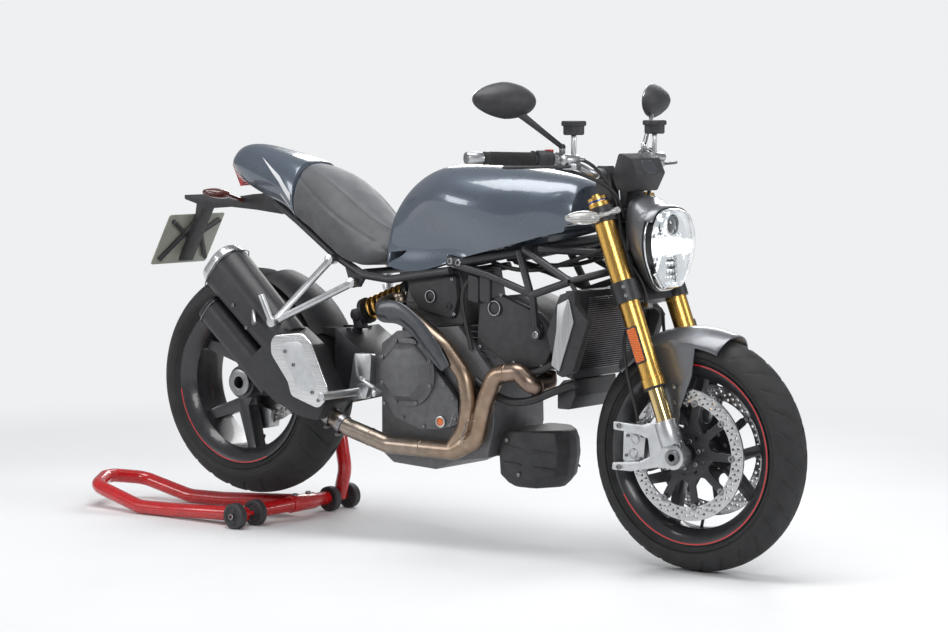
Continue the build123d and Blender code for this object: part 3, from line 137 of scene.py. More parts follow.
# Materials: one function lays out the nodes that every finish shares
class Finish:
    """A material whose colour, roughness and relief come from noise on the piece's own coordinates."""

    def __init__(self, name, metallic=0.0, coat=0.0, sheen=0.0, specular=0.5):
        self.material = bpy.data.materials.new(name)
        self.material.use_nodes = True
        self.tree = self.material.node_tree
        self.shader = self.tree.nodes["Principled BSDF"]
        self.shader.inputs["Metallic"].default_value = metallic
        self.shader.inputs["Coat Weight"].default_value = coat
        self.shader.inputs["Coat Roughness"].default_value = 0.06
        self.shader.inputs["Sheen Weight"].default_value = sheen
        self.shader.inputs["Specular IOR Level"].default_value = specular
        self.place = self.add("ShaderNodeTexCoord").outputs["Object"]

    def add(self, kind, **values):
        node = self.tree.nodes.new(kind)
        for key, value in values.items():
            setattr(node, key, value)
        return node

    def link(self, source, target):
        self.tree.links.new(source, target)
        return self

    def moved(self, centre=(0, 0, 0), turn=(0, 0, 0), scale=(1, 1, 1)):
        """The piece's coordinates about a centre, turned, then scaled."""
        shift = self.add("ShaderNodeVectorMath", operation="SUBTRACT")
        self.link(self.place, shift.inputs[0])
        shift.inputs[1].default_value = tuple(centre)
        mapping = self.add("ShaderNodeMapping")
        mapping.inputs["Rotation"].default_value = tuple(turn)
        mapping.inputs["Scale"].default_value = tuple(scale)
        self.link(shift.outputs[0], mapping.inputs["Vector"])
        return mapping.outputs[0]

    def noise(self, scale, detail=3.0, place=None, rough=0.55):
        node = self.add("ShaderNodeTexNoise")
        node.inputs["Scale"].default_value = scale
        node.inputs["Detail"].default_value = detail
        node.inputs["Roughness"].default_value = rough
        self.link(place if place is not None else self.place, node.inputs["Vector"])
        return node.outputs["Fac"]

    def math(self, operation, first, second=0.0, third=None):
        node = self.add("ShaderNodeMath", operation=operation)
        for index, value in enumerate((first, second, third)):
            if value is None:
                continue
            if isinstance(value, (int, float)):
                node.inputs[index].default_value = value
            else:
                self.link(value, node.inputs[index])
        return node.outputs[0]

    def ramp(self, factor, stops):
        node = self.add("ShaderNodeValToRGB")
        while len(node.color_ramp.elements) < len(stops):
            node.color_ramp.elements.new(0.5)
        for element, (position, colour) in zip(node.color_ramp.elements, stops):
            element.position = position
            element.color = (*colour, 1.0)
        self.link(factor, node.inputs["Fac"])
        return node.outputs["Color"]

    def mix(self, factor, first, second):
        node = self.add("ShaderNodeMix", data_type="RGBA")
        self.link(factor, node.inputs["Factor"])
        for socket, value in ((node.inputs[6], first), (node.inputs[7], second)):
            if isinstance(value, tuple):
                socket.default_value = (*value, 1.0)
            else:
                self.link(value, socket)
        return node.outputs[2]

    def span(self, factor, low, high):
        node = self.add("ShaderNodeMapRange")
        self.link(factor, node.inputs["Value"])
        node.inputs["To Min"].default_value = low
        node.inputs["To Max"].default_value = high
        return node.outputs[0]

    def colour(self, socket):
        return self.link(socket, self.shader.inputs["Base Color"])

    def rough(self, socket):
        return self.link(socket, self.shader.inputs["Roughness"])

    def relief(self, height, strength, depth=0.001):
        bump = self.add("ShaderNodeBump")
        bump.inputs["Strength"].default_value = strength
        bump.inputs["Distance"].default_value = depth
        self.link(height, bump.inputs["Height"])
        last = self.shader.inputs["Normal"].links
        if last:
            self.link(last[0].from_socket, bump.inputs["Normal"])
        return self.link(bump.outputs["Normal"], self.shader.inputs["Normal"])


def shade(colour, by):
    return tuple(min(1.0, max(0.0, c * by)) for c in colour)


def surface(name, colour, rough, spread=0.25, grain=45.0, fine=900.0, relief=0.12,
            metallic=0.0, coat=0.0, sheen=0.0, specular=0.5, stretch=(1, 1, 1)):
    """The common finish: soft mottling, uneven gloss and a fine grain."""
    made = Finish(name, metallic, coat, sheen, specular)
    place = made.moved(scale=stretch)
    cloud = made.noise(grain, 4.0, place)
    made.colour(made.ramp(cloud, [(0.3, shade(colour, 1 - spread)), (0.7, shade(colour, 1 + spread))]))
    made.rough(made.span(made.noise(grain * 2.3, 5.0, place), rough[0], rough[1]))
    made.relief(made.noise(fine, 2.0, place), relief, 0.0004)
    return made


def tyre_rubber():
    made = surface("tyre_rubber", (0.017, 0.017, 0.018), (0.62, 0.85), 0.3, 20, 700, 0.25)
    return made.material


def tank_paint():
    """Gloss slate blue-grey with a fine metal flake under a clear coat."""
    made = Finish("tank_paint", 0.35, 1.0)
    flake = made.noise(2600.0, 1.0)
    tone = made.noise(6.0, 3.0)
    base = made.ramp(flake, [(0.42, (0.070, 0.090, 0.118)), (0.62, (0.120, 0.148, 0.185))])
    deep = made.ramp(tone, [(0.3, (0.078, 0.098, 0.126)), (0.7, (0.094, 0.117, 0.150))])
    made.colour(made.mix(made.span(flake, 0.2, 0.7), deep, base))
    made.rough(made.span(made.noise(30.0, 4.0), 0.24, 0.33))
    made.relief(made.noise(420.0, 2.0), 0.02, 0.0002)
    return made.material


def satin_grey():
    """The lamp bowl and the front mudguard: satin metallic grey."""
    made = Finish("satin_grey", 0.6, 0.35)
    flake = made.noise(2200.0, 1.0)
    made.colour(made.ramp(flake, [(0.4, (0.115, 0.120, 0.130)), (0.62, (0.185, 0.192, 0.205))]))
    made.rough(made.span(made.noise(26.0, 4.0), 0.30, 0.42))
    made.relief(made.noise(500.0, 2.0), 0.03, 0.0002)
    return made.material


def header_steel():
    """Steel pipe tinted by heat: straw and brown near the engine, grey at the back."""
    made = Finish("header_steel", 1.0)
    split = made.add("ShaderNodeSeparateXYZ")
    made.link(made.place, split.inputs[0])
    wander = made.noise(9.0, 4.0)
    along = made.math("ADD", split.outputs["X"], made.math("MULTIPLY", wander, 0.25))
    tint = made.ramp(made.span(along, 0.0, 1.0), [
        (0.0, (0.34, 0.30, 0.26)), (0.25, (0.30, 0.235, 0.18)), (0.42, (0.36, 0.25, 0.17)),
        (0.55, (0.26, 0.185, 0.15)), (0.75, (0.33, 0.26, 0.22))])
    stain = made.ramp(made.noise(38.0, 6.0), [(0.35, (0.14, 0.105, 0.085)), (0.6, (0.36, 0.29, 0.23))])
    made.colour(made.mix(made.span(made.noise(14.0, 5.0), 0.05, 0.65), tint, stain))
    made.rough(made.span(made.noise(60.0, 5.0), 0.24, 0.44))
    made.relief(made.noise(900.0, 2.0), 0.05, 0.0003)
    return made.material


def brushed(name, colour, rough, turn=(0, 0, 0), scale=(4, 900, 900), metallic=1.0):
    """Metal with fine lines along one direction."""
    made = Finish(name, metallic)
    lines = made.noise(1.0, 3.0, made.moved(turn=turn, scale=scale))
    made.colour(made.ramp(lines, [(0.3, shade(colour, 0.82)), (0.7, shade(colour, 1.12))]))
    made.rough(made.span(lines, rough[0], rough[1]))
    made.relief(lines, 0.08, 0.0002)
    return made.material


def ringed(name, colour, rough, centre, radius_scale=900.0):
    """Ground or turned metal: fine rings about an axle that lies across the machine."""
    made = Finish(name, 1.0)
    away = made.add("ShaderNodeVectorMath", operation="LENGTH")
    made.link(made.moved(centre, scale=(1, 0, 1)), away.inputs[0])
    ring = made.add("ShaderNodeCombineXYZ")
    made.link(away.outputs["Value"], ring.inputs["X"])
    lines = made.noise(radius_scale, 2.0, ring.outputs[0])
    made.colour(made.ramp(lines, [(0.3, shade(colour, 0.8)), (0.7, shade(colour, 1.12))]))
    made.rough(made.span(lines, rough[0], rough[1]))
    made.relief(lines, 0.12, 0.0002)
    return made.material


def seat_leather(name="seat_leather", low=(0.040, 0.041, 0.045), high=(0.066, 0.067, 0.072), grain=620.0):
    """Dark grey cover with a pebbled grain and a slightly dusty sheen."""
    made = Finish(name, sheen=0.25)
    cells = made.add("ShaderNodeTexVoronoi", feature="SMOOTH_F1")
    cells.inputs["Scale"].default_value = grain
    made.link(made.place, cells.inputs["Vector"])
    made.colour(made.ramp(made.noise(22.0, 5.0), [(0.3, low), (0.7, high)]))
    made.rough(made.span(made.noise(40.0, 4.0), 0.50, 0.66))
    made.relief(cells.outputs["Distance"], 0.32, 0.0006)
    made.relief(made.noise(9.0, 3.0), 0.25, 0.004)
    return made.material


def seat_panel_cover():
    """The lighter, finer grained centre panel."""
    return seat_leather("seat_panel", (0.062, 0.063, 0.069), (0.098, 0.100, 0.108), 900.0)


def lens_clear():
    made = Finish("lens_clear")
    made.shader.inputs["Transmission Weight"].default_value = 1.0
    made.shader.inputs["IOR"].default_value = 1.35
    made.colour(made.ramp(made.noise(8.0, 2.0), [(0.3, (0.93, 0.95, 0.96)), (0.7, (1.0, 1.0, 1.0))]))
    made.rough(made.span(made.noise(50.0, 3.0), 0.0, 0.03))
    return made.material


def lens_tint(name, colour, transmission=0.55, glow=None, strength=0.35):
    """A moulded lamp lens with fine ribs inside."""
    made = Finish(name, coat=0.6)
    made.shader.inputs["Transmission Weight"].default_value = transmission
    ribs = made.add("ShaderNodeTexWave", bands_direction="Z")
    ribs.inputs["Scale"].default_value = 55.0
    ribs.inputs["Distortion"].default_value = 0.3
    made.link(made.place, ribs.inputs["Vector"])
    made.colour(made.ramp(ribs.outputs["Fac"], [(0.2, shade(colour, 0.7)), (0.8, shade(colour, 1.15))]))
    made.rough(made.span(made.noise(60.0, 3.0), 0.06, 0.16))
    made.relief(ribs.outputs["Fac"], 0.25, 0.0008)
    if glow:
        made.shader.inputs["Emission Color"].default_value = (*glow, 1.0)
        made.shader.inputs["Emission Strength"].default_value = strength
    return made.material


def floor_paint(name, colour):
    """Pale paint. Far from the object the camera and reflections see it as evenly lit."""
    made = Finish(name, specular=0.2)
    made.colour(made.ramp(made.noise(1.5, 3.0), [(0.3, shade(colour, 0.985)), (0.7, shade(colour, 1.015))]))
    made.rough(made.span(made.noise(20.0, 3.0), 0.55, 0.7))
    away = made.add("ShaderNodeVectorMath", operation="LENGTH")
    made.link(made.place, away.inputs[0])
    far = made.add("ShaderNodeMapRange", interpolation_type="SMOOTHSTEP")
    made.link(away.outputs["Value"], far.inputs["Value"])
    far.inputs["From Min"].default_value = 1.6
    far.inputs["From Max"].default_value = 3.6
    paths = made.add("ShaderNodeLightPath")
    seen = made.math("MAXIMUM", paths.outputs["Is Camera Ray"], paths.outputs["Is Glossy Ray"])
    seen = made.math("MAXIMUM", seen, paths.outputs["Is Transmission Ray"])
    glow = made.add("ShaderNodeEmission")
    glow.inputs["Color"].default_value = backdrop_white
    blend = made.add("ShaderNodeMixShader")
    made.link(made.math("MULTIPLY", far.outputs[0], seen), blend.inputs[0])
    made.link(made.shader.outputs[0], blend.inputs[1])
    made.link(glow.outputs[0], blend.inputs[2])
    made.link(blend.outputs[0], made.tree.nodes["Material Output"].inputs["Surface"])
    return made.material


finish = {
    "tyre": tyre_rubber(),
    "rim_black": surface("rim_black", (0.022, 0.022, 0.025), (0.26, 0.38), coat=0.4).material,
    "disc_steel": ringed("disc_steel_front", (0.56, 0.56, 0.57), (0.22, 0.36), front_axle),
    "disc_steel_rear": ringed("disc_steel_rear", (0.46, 0.45, 0.44), (0.28, 0.42), rear_axle),
    "black_metal": surface("black_metal", (0.024, 0.024, 0.027), (0.34, 0.5), relief=0.18).material,
    "fork_gold": brushed("fork_gold", (0.72, 0.43, 0.115), (0.22, 0.34), (0, rake, 0), (500, 500, 6)),
    "fork_inner": brushed("fork_inner", (0.66, 0.50, 0.24), (0.06, 0.13), (0, rake, 0), (400, 400, 8)),
    "silver_alloy": surface("silver_alloy", (0.55, 0.56, 0.57), (0.28, 0.42), 0.1, metallic=1.0).material,
    "engine_grey": surface("engine_grey", (0.125, 0.125, 0.130), (0.42, 0.58), 0.15, relief=0.4,
                           metallic=0.55).material,
    "dark_plastic": surface("dark_plastic", (0.026, 0.026, 0.028), (0.46, 0.62), relief=0.35).material,
    "header_steel": header_steel(),
    "silencer_black": surface("silencer_black", (0.018, 0.018, 0.020), (0.40, 0.54), relief=0.3).material,
    "guard_alloy": brushed("guard_alloy", (0.66, 0.66, 0.67), (0.16, 0.3), (0, 0.9, 0), (6, 500, 500)),
    "body_paint": tank_paint(),
    "lamp_paint": satin_grey(),
    "clear_lens": lens_clear(),
    "hose_rubber": surface("hose_rubber", (0.016, 0.016, 0.017), (0.4, 0.55)).material,
    "grip_rubber": surface("grip_rubber", (0.018, 0.018, 0.019), (0.66, 0.85), relief=0.5).material,
    "chain_steel": surface("chain_steel", (0.21, 0.195, 0.17), (0.32, 0.5), 0.4, 160,
                           metallic=1.0).material,
    "seat_cover": seat_leather(),
    "stand_red": surface("stand_red", (0.50, 0.008, 0.010), (0.2, 0.32), 0.12, relief=0.06,
                         coat=0.7).material,
    "caster_dark": surface("caster_dark", (0.035, 0.035, 0.037), (0.5, 0.7), relief=0.4).material,
    "lamp_red": lens_tint("lamp_red", (0.42, 0.010, 0.012), 0.35),
    "lamp_clear": lens_tint("lamp_clear", (0.72, 0.72, 0.70), 0.55),
    "lamp_smoked": lens_tint("lamp_smoked", (0.13, 0.035, 0.03), 0.4),
    "plate_metal": surface("plate_metal", (0.31, 0.32, 0.27), (0.42, 0.6), 0.14, 14).material,
    "steel_dark": surface("steel_dark", (0.26, 0.26, 0.27), (0.26, 0.42), metallic=1.0).material,
    "white_paint": surface("white_paint", (0.70, 0.71, 0.72), (0.22, 0.3), 0.04, coat=0.8).material,
    "red_paint": surface("red_paint", (0.55, 0.012, 0.012), (0.25, 0.35), 0.08, coat=0.4).material,
    "amber_lens": lens_tint("amber_lens", (0.85, 0.16, 0.01), 0.2),
    "mirror_glass": surface("mirror_glass", (0.72, 0.74, 0.76), (0.02, 0.05), 0.02, metallic=1.0).material,
    "chrome": surface("chrome", (0.78, 0.79, 0.80), (0.05, 0.12), 0.04, metallic=1.0).material,
    "seat_panel": seat_panel_cover(),
    "thread_grey": surface("thread_grey", (0.16, 0.16, 0.17), (0.6, 0.8), grain=300, relief=0.3).material,
    "lamp_glow": lens_tint("lamp_glow", (0.9, 0.93, 1.0), 0.0, (0.92, 0.96, 1.0), 2.2),
    "guard_grey": surface("guard_grey", (0.075, 0.080, 0.088), (0.30, 0.42), 0.12, metallic=0.6,
                          coat=0.2).material,
    "insert_silver": brushed("insert_silver", (0.42, 0.425, 0.43), (0.34, 0.48), (0, 0.2, 0),
                             (300, 300, 10), 0.85),
    "cap_silver": surface("cap_silver", (0.62, 0.63, 0.64), (0.22, 0.34), 0.08, metallic=0.9).material,
    "bar_silver": surface("bar_silver", (0.50, 0.51, 0.52), (0.24, 0.36), 0.1, metallic=0.95).material,
    "button_red": surface("button_red", (0.50, 0.015, 0.015), (0.3, 0.42), 0.1).material,
    "cap_blue": surface("cap_blue", (0.02, 0.09, 0.32), (0.2, 0.32), 0.1, metallic=0.9).material,
    "screen_dark": surface("screen_dark", (0.010, 0.011, 0.013), (0.08, 0.14), 0.1, coat=1.0).material,
}


# Modelling helpers
def clear_selection():
    bpy.ops.object.select_all(action="DESELECT")


def primitive(kind, **settings):
    """Adds a mesh primitive by itself and returns it."""
    clear_selection()
    getattr(bpy.ops.mesh, f"primitive_{kind}_add")(**settings)
    return bpy.context.object


def modified(obj, kind, **settings):
    """Adds a modifier and applies it."""
    modifier = obj.modifiers.new(kind.lower(), kind)
    for key, value in settings.items():
        setattr(modifier, key, value)
    with bpy.context.temp_override(object=obj, active_object=obj):
        bpy.ops.object.modifier_apply(modifier=modifier.name)
    return obj


def placed(obj):
    """Puts the object's place into its mesh."""
    bpy.context.view_layer.update()
    obj.data.transform(obj.matrix_world)
    obj.matrix_world = Matrix.Identity(4)
    return obj


def cleaned(obj, gap=0.00005):
    """Merges doubles and turns the faces outward."""
    mesh = bmesh.new()
    mesh.from_mesh(obj.data)
    bmesh.ops.remove_doubles(mesh, verts=mesh.verts, dist=gap)
    bmesh.ops.recalc_face_normals(mesh, faces=mesh.faces)
    mesh.to_mesh(obj.data)
    mesh.free()
    return obj


def smooth(obj, angle=35):
    clear_selection()
    obj.select_set(True)
    bpy.context.view_layer.objects.active = obj
    bpy.ops.object.shade_smooth_by_angle(angle=math.radians(angle))
    return obj


def joined(pieces):
    """Several objects made one, each keeping its materials."""
    clear_selection()
    for piece in pieces:
        placed(piece)
        piece.select_set(True)
    bpy.context.view_layer.objects.active = pieces[0]
    if len(pieces) > 1:
        bpy.ops.object.join()
    return pieces[0]


def painted(obj, name):
    obj.data.materials.clear()
    obj.data.materials.append(finish[name])
    return obj


def kept(obj, name, body="root", paint=None, stands_for=(), angle=35):
    """Finishes a piece: place, shading, paint, the body it rides on and what it stands for."""
    placed(obj)
    obj.name = name
    if paint:
        painted(obj, paint)
    smooth(obj, angle)
    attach(obj, body)
    if stands_for:
        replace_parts(obj, *stands_for)
    return obj


def new_mesh(points, faces):
    data = bpy.data.meshes.new("mesh")
    data.from_pydata([tuple(p) for p in points], [], faces)
    obj = bpy.data.objects.new("piece", data)
    bpy.context.scene.collection.objects.link(obj)
    return cleaned(obj)


def drum(centre, axis, radius, length, sides=32, edge=0.0):
    """A short cylinder about an axis, its rims bevelled."""
    obj = primitive("cylinder", radius=radius, depth=length, vertices=sides)
    obj.rotation_mode = "QUATERNION"
    obj.rotation_quaternion = Vector(axis).to_track_quat("Z", "Y")
    obj.location = centre
    placed(obj)
    if edge:
        modified(obj, "BEVEL", width=edge, segments=2, limit_method="ANGLE", angle_limit=math.radians(50))
    return obj


def bar(start, end, radius, sides=20, edge=0.0):
    start, end = Vector(start), Vector(end)
    return drum((start + end) / 2, end - start, radius, (end - start).length, sides, edge)


def turned(profile, centre, axis, steps=48, closed=False):
    """A profile of (along, outward) points in metres, turned round an axis."""
    axis = Vector(axis).normalized()
    side = axis.orthogonal().normalized()
    other = axis.cross(side)
    points, faces = [], []
    for step in range(steps):
        angle = math.tau * step / steps
        out = side * math.cos(angle) + other * math.sin(angle)
        points += [Vector(centre) + axis * a + out * r for a, r in profile]
    count = len(profile)
    for step in range(steps):
        here, there = step * count, (step + 1) % steps * count
        for i in range(count if closed else count - 1):
            j = (i + 1) % count
            faces.append((here + i, here + j, there + j, there + i))
    return new_mesh(points, faces)


def plate(outline, thickness, matrix, holes=(), edge=0.0, steps=3):
    """A flat plate with holes, cut from a filled outline and given its thickness and rounded rim."""
    data = bpy.data.curves.new("outline", "CURVE")
    data.dimensions = "2D"
    data.fill_mode = "BOTH"
    data.extrude = thickness / 2 - edge
    data.bevel_depth = edge
    data.bevel_resolution = steps if edge else 0
    for loop in (outline, *holes):
        spline = data.splines.new("POLY")
        spline.points.add(len(loop) - 1)
        for point, (x, y) in zip(spline.points, loop):
            point.co = (x, y, 0, 1)
        spline.use_cyclic_u = True
    curve = bpy.data.objects.new("outline", data)
    bpy.context.scene.collection.objects.link(curve)
    bpy.context.view_layer.update()
    mesh = bpy.data.meshes.new_from_object(curve.evaluated_get(bpy.context.evaluated_depsgraph_get()))
    bpy.data.objects.remove(curve)
    obj = bpy.data.objects.new("plate", mesh)
    bpy.context.scene.collection.objects.link(obj)
    obj.data.transform(matrix)
    return cleaned(obj)


def side_matrix(y, centre=(0, 0, 0)):
    """A drawing plane seen from the right: x ahead, y up, thickness across."""
    centre = Vector(centre)
    return Matrix.Translation((centre.x, y, centre.z)) @ Matrix.Rotation(math.radians(90), 4, "X")


def ring(radius, count, start=0.0, centre=(0.0, 0.0)):
    return [(centre[0] + radius * math.cos(start + math.tau * i / count),
             centre[1] + radius * math.sin(start + math.tau * i / count)) for i in range(count)]


def rounded(points, radius, steps=4):
    """A closed outline with its corners rounded."""
    made = []
    count = len(points)
    for i in range(count):
        before, here, after = (Vector(points[(i + k) % count]) for k in (-1, 0, 1))
        a, b = (before - here), (after - here)
        reach = min(radius, a.length * 0.45, b.length * 0.45)
        start, end = here + a.normalized() * reach, here + b.normalized() * reach
        for k in range(steps + 1):
            t = k / steps
            made.append(tuple(start * (1 - t) ** 2 + here * (2 * t * (1 - t)) + end * t * t))
    return made


def metres(points):
    return [tuple(c * mm for c in point) for point in points]


def pipe(points, radius, sides=14, cyclic=False, resolution=6):
    """A round tube along a smooth line through its control points."""
    data = bpy.data.curves.new("line", "CURVE")
    data.dimensions = "3D"
    data.bevel_depth = radius
    data.bevel_resolution = max(1, sides // 4)
    data.resolution_u = resolution
    data.use_fill_caps = True
    spline = data.splines.new("NURBS")
    spline.points.add(len(points) - 1)
    for point, place in zip(spline.points, points):
        point.co = (*place, 1.0)
    spline.order_u = 3
    spline.use_endpoint_u = not cyclic
    spline.use_cyclic_u = cyclic
    curve = bpy.data.objects.new("line", data)
    bpy.context.scene.collection.objects.link(curve)
    bpy.context.view_layer.update()
    mesh = bpy.data.meshes.new_from_object(curve.evaluated_get(bpy.context.evaluated_depsgraph_get()))
    bpy.data.objects.remove(curve)
    obj = bpy.data.objects.new("tube", mesh)
    bpy.context.scene.collection.objects.link(obj)
    return obj


def bolt(centre, axis, radius=0.005, height=0.004):
    """A cap screw with a six-sided socket, its head standing out along the axis."""
    axis = Vector(axis).normalized()
    profile = [(0, radius), (height * 0.8, radius), (height, radius * 0.85), (height, radius * 0.55),
               (height * 0.45, radius * 0.5), (height * 0.45, 0.0001)]
    return painted(turned([(a - 0.0005, r) for a, r in profile], centre, axis, 12), "steel_dark")


def mirrored(obj):
    """A piece joined with its copy on the machine's other side."""
    copy = obj.copy()
    copy.data = obj.data.copy()
    bpy.context.scene.collection.objects.link(copy)
    copy.data.transform(Matrix.Scale(-1, 4, (0, 1, 0)))
    copy.data.flip_normals()
    return joined([obj, copy])


def copy_of_node(name):
    """A merged copy of a construction node, ready to be worked."""
    obj = nodes[name].copy()
    obj.data = nodes[name].data.copy()
    for key in list(obj.keys()):
        if key.startswith("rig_"):
            del obj[key]
    obj.parent = None
    bpy.context.scene.collection.objects.link(obj)
    obj.modifiers.clear()
    return cleaned(obj, 0.00002)


def rounded_part(obj, width, angle=32, **settings):
    """Merges a piece's flat faces and rounds its hard edges."""
    mesh = bmesh.new()
    mesh.from_mesh(obj.data)
    bmesh.ops.dissolve_limit(mesh, angle_limit=math.radians(1.2), verts=mesh.verts, edges=mesh.edges)
    mesh.to_mesh(obj.data)
    mesh.free()
    return modified(obj, "BEVEL", width=width, segments=2, limit_method="ANGLE",
                    angle_limit=math.radians(angle), **settings)


def softened(name, width, angle=32, paint=None):
    """The node's own shape with its hard edges rounded, standing for the node."""
    obj = rounded_part(copy_of_node(name), width, angle, miter_outer="MITER_ARC")
    row = next(entry for entry in frame["record"]["subparts"] if entry["node"] == name)
    body = nodes[name]["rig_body"]
    slot = row["material_slot"]
    return kept(obj, f"{name}_finished", body, paint or slot, [name], 40)


# Tyres: a turned casing whose rows lean with the grooves, so that each groove is real geometry
def tyre(name, node, body, centre, radius, width, bead_half, pitches):
    flange, shoulder = 0.2295, radius - 0.6 * (radius - 0.229)
    half = width / 2
    crown = []
    rise = radius - shoulder
    bend = (half * half + rise * rise) / (2 * rise)
    for step in range(23):
        across = half * (1 - 2 * step / 22)
        crown.append((across, radius - bend + math.sqrt(max(0.0, bend * bend - across * across))))
    wall = [(bead_half + 0.0012, flange), (bead_half + 0.004, flange + 0.004),
            (half - 0.006, flange + 0.018),
            (half - 0.0012, (shoulder + flange) / 2 + 0.006), (half - 0.0002, shoulder - 0.004)]
    profile = wall + crown + [(-a, r) for a, r in reversed(wall)]
    # Columns of one pitch, and which of them are sunk on the left and right halves
    columns = [0.0, 0.06, 0.13, 0.28, 0.42, 0.50, 0.56, 0.63, 0.78, 0.92]
    sunk = {1: 1, 2: 1, 6: -1, 7: -1}
    points, faces = [], []
    rows = len(profile)
    for pitch in range(pitches):
        for index, column in enumerate(columns):
            for across, out in profile:
                reach = abs(across) / half
                on_crown = out > shoulder - 0.001
                lean = 0.95 * reach ** 1.6 * (1 if on_crown else 0) + (0 if on_crown else 0.95)
                angle = math.tau * (pitch + column + lean) / pitches
                half_side = sunk.get(index, 0)
                groove = half_side * across > 0 and 0.10 < reach < 0.86 and on_crown
                short = index in (2, 7) and reach > 0.70
                depth = 0.0034 if groove and not short else 0.0
                turn = out - depth
                points.append(centre + spoke(turn, angle, across))
    columns_all = pitches * len(columns)
    for column in range(columns_all):
        there = (column + 1) % columns_all
        for row in range(rows - 1):
            faces.append((column * rows + row, column * rows + row + 1, there * rows + row + 1, there * rows
                          + row))
    casing = new_mesh(points, faces)
    # Inner beads close the casing onto the rim
    inner = turned([(bead_half + 0.0012, flange), (bead_half - 0.0003, flange - 0.001),
                    (bead_half - 0.0003, 0.2164), (-bead_half + 0.0003, 0.2164),
                    (-bead_half + 0.0003, flange - 0.001), (-bead_half - 0.0012, flange)],
                   centre, wheel_axis, 180)
    lines = []
    for sign in (1, -1):
        for along, out, thick in ((half - 0.0033, flange + 0.0125, 0.0011),
                                  (half - 0.0008, shoulder - 0.0085, 0.0009)):
            band = [(sign * (along + thick * math.cos(a)), out + thick * 1.6 * math.sin(a))
                    for a in turns(12)]
            lines.append(turned(band, centre, wheel_axis, 120, closed=True))
    made = joined([casing, inner, *lines])
    kept(made, name, body, "tyre", [node], 42)


tyre("front_tyre_tread", "front_tyre", "front_wheel", front_axle, 0.300, 0.120, front_bead_half, 30)
tyre("rear_tyre_tread", "rear_tyre", "rear_wheel", rear_axle, 0.3205, 0.190, rear_bead_half, 28)


def rim(node, body, centre, bead_half, stripe_start, stripe_sweep):
    """The rim's own shape with rounded edges, a red pinstripe arc on each side and its valve."""
    softened(node, 0.0026, 30, "rim_black")
    arcs = []
    for side in (1, -1):
        across = side * (bead_half + 0.0062)
        steps = 40
        points, faces = [], []
        for i in range(steps + 1):
            angle = stripe_start + stripe_sweep * i / steps
            for out in (0.2245, 0.2275):
                points.append(centre + spoke(out, angle, across))
        for i in range(steps):
            faces.append((2 * i, 2 * i + 1, 2 * i + 3, 2 * i + 2))
        arcs.append(modified(new_mesh(points, faces), "SOLIDIFY", thickness=0.0003, offset=0))
    kept(joined(arcs), f"{node}_stripe", body, "red_paint")
    valve = joined([bar(centre + Vector((0.0, 0.012, -0.190)), centre + Vector((0.0, 0.020, -0.168)), 0.004,
                        12, 0.0008),
                    bar(centre + Vector((0.0, 0.020, -0.168)), centre + Vector((0.0, 0.023, -0.158)),
                        0.0048, 12, 0.0008)])
    kept(valve, f"{node}_valve", body, "dark_plastic")


rim("front_rim", "front_wheel", front_axle, front_bead_half, -2.6, 4.6)
rim("rear_rim", "rear_wheel", rear_axle, rear_bead_half, -3.0, 1.9)


# Drilled front discs on floating buttons and dark carriers
def front_discs():
    holes = []
    for out, count, size, turn in ((0.1375, 36, 0.0038, 0.0), (0.1455, 36, 0.0034, 0.09),
                                   (0.1530, 36, 0.0038, 0.175), (0.1590, 18, 0.0026, 0.04)):
        for i in range(count):
            angle = math.tau * i / count + turn
            holes.append(ring(size, 10, centre=(out * math.cos(angle), out * math.sin(angle))))
    inner = []
    for i in range(180):
        angle = math.tau * i / 180
        scallop = 0.0025 * max(0.0, math.cos(9 * angle)) ** 4
        inner.append(((0.1312 + scallop * 0.2) * math.cos(angle),
                      (0.1312 + scallop * 0.2) * math.sin(angle)))
    rims, carriers, buttons = [], [], []
    for side in (1, -1):
        rims.append(plate(ring(0.165, 180), 0.005, side_matrix(side * front_disc_across, front_axle),
                          [inner, *holes], 0.0005, 1))
        arms = []
        count = 9
        for i in range(count):
            middle = math.tau * i / count
            for turn, out in ((-0.26, 0.066), (-0.13, 0.074), (-0.075, 0.128), (0.075, 0.128),
                              (0.13, 0.074), (0.26, 0.066)):
                arms.append((out * math.cos(middle + turn), out * math.sin(middle + turn)))
        windows = [ring(0.006, 12, centre=(0.047 * math.cos(a), 0.047 * math.sin(a)))
                   for a in turns(count, 0.5)]
        carriers.append(plate(rounded(arms, 0.006), 0.005, side_matrix(side * 0.0532, front_axle),
                              [ring(hub_bore, 40), *windows], 0.0008, 2))
        for angle in turns(count):
            place = front_axle + spoke(0.1305, angle, side * front_disc_across)
            buttons.append(turned([(-0.0045, 0.0035), (-0.0045, 0.0085), (-0.003, 0.0095), (0.003, 0.0095),
                                   (0.0045, 0.0085), (0.0045, 0.0035)], place, wheel_axis, 16, closed=True))
        for i in range(6):
            angle = math.tau * i / 6 + 0.3
            place = front_axle + spoke(0.034, angle, side * 0.0557)
            buttons.append(bolt(place, (0, side, 0), 0.0062, 0.004))
    kept(joined(rims), "front_disc_rotors", "front_wheel", "disc_steel",
         ["front_brake_discs"])
    kept(joined(carriers), "front_disc_carriers", "front_wheel", "black_metal")
    kept(painted(joined(buttons), "steel_dark"), "front_disc_buttons", "front_wheel", "steel_dark")


front_discs()


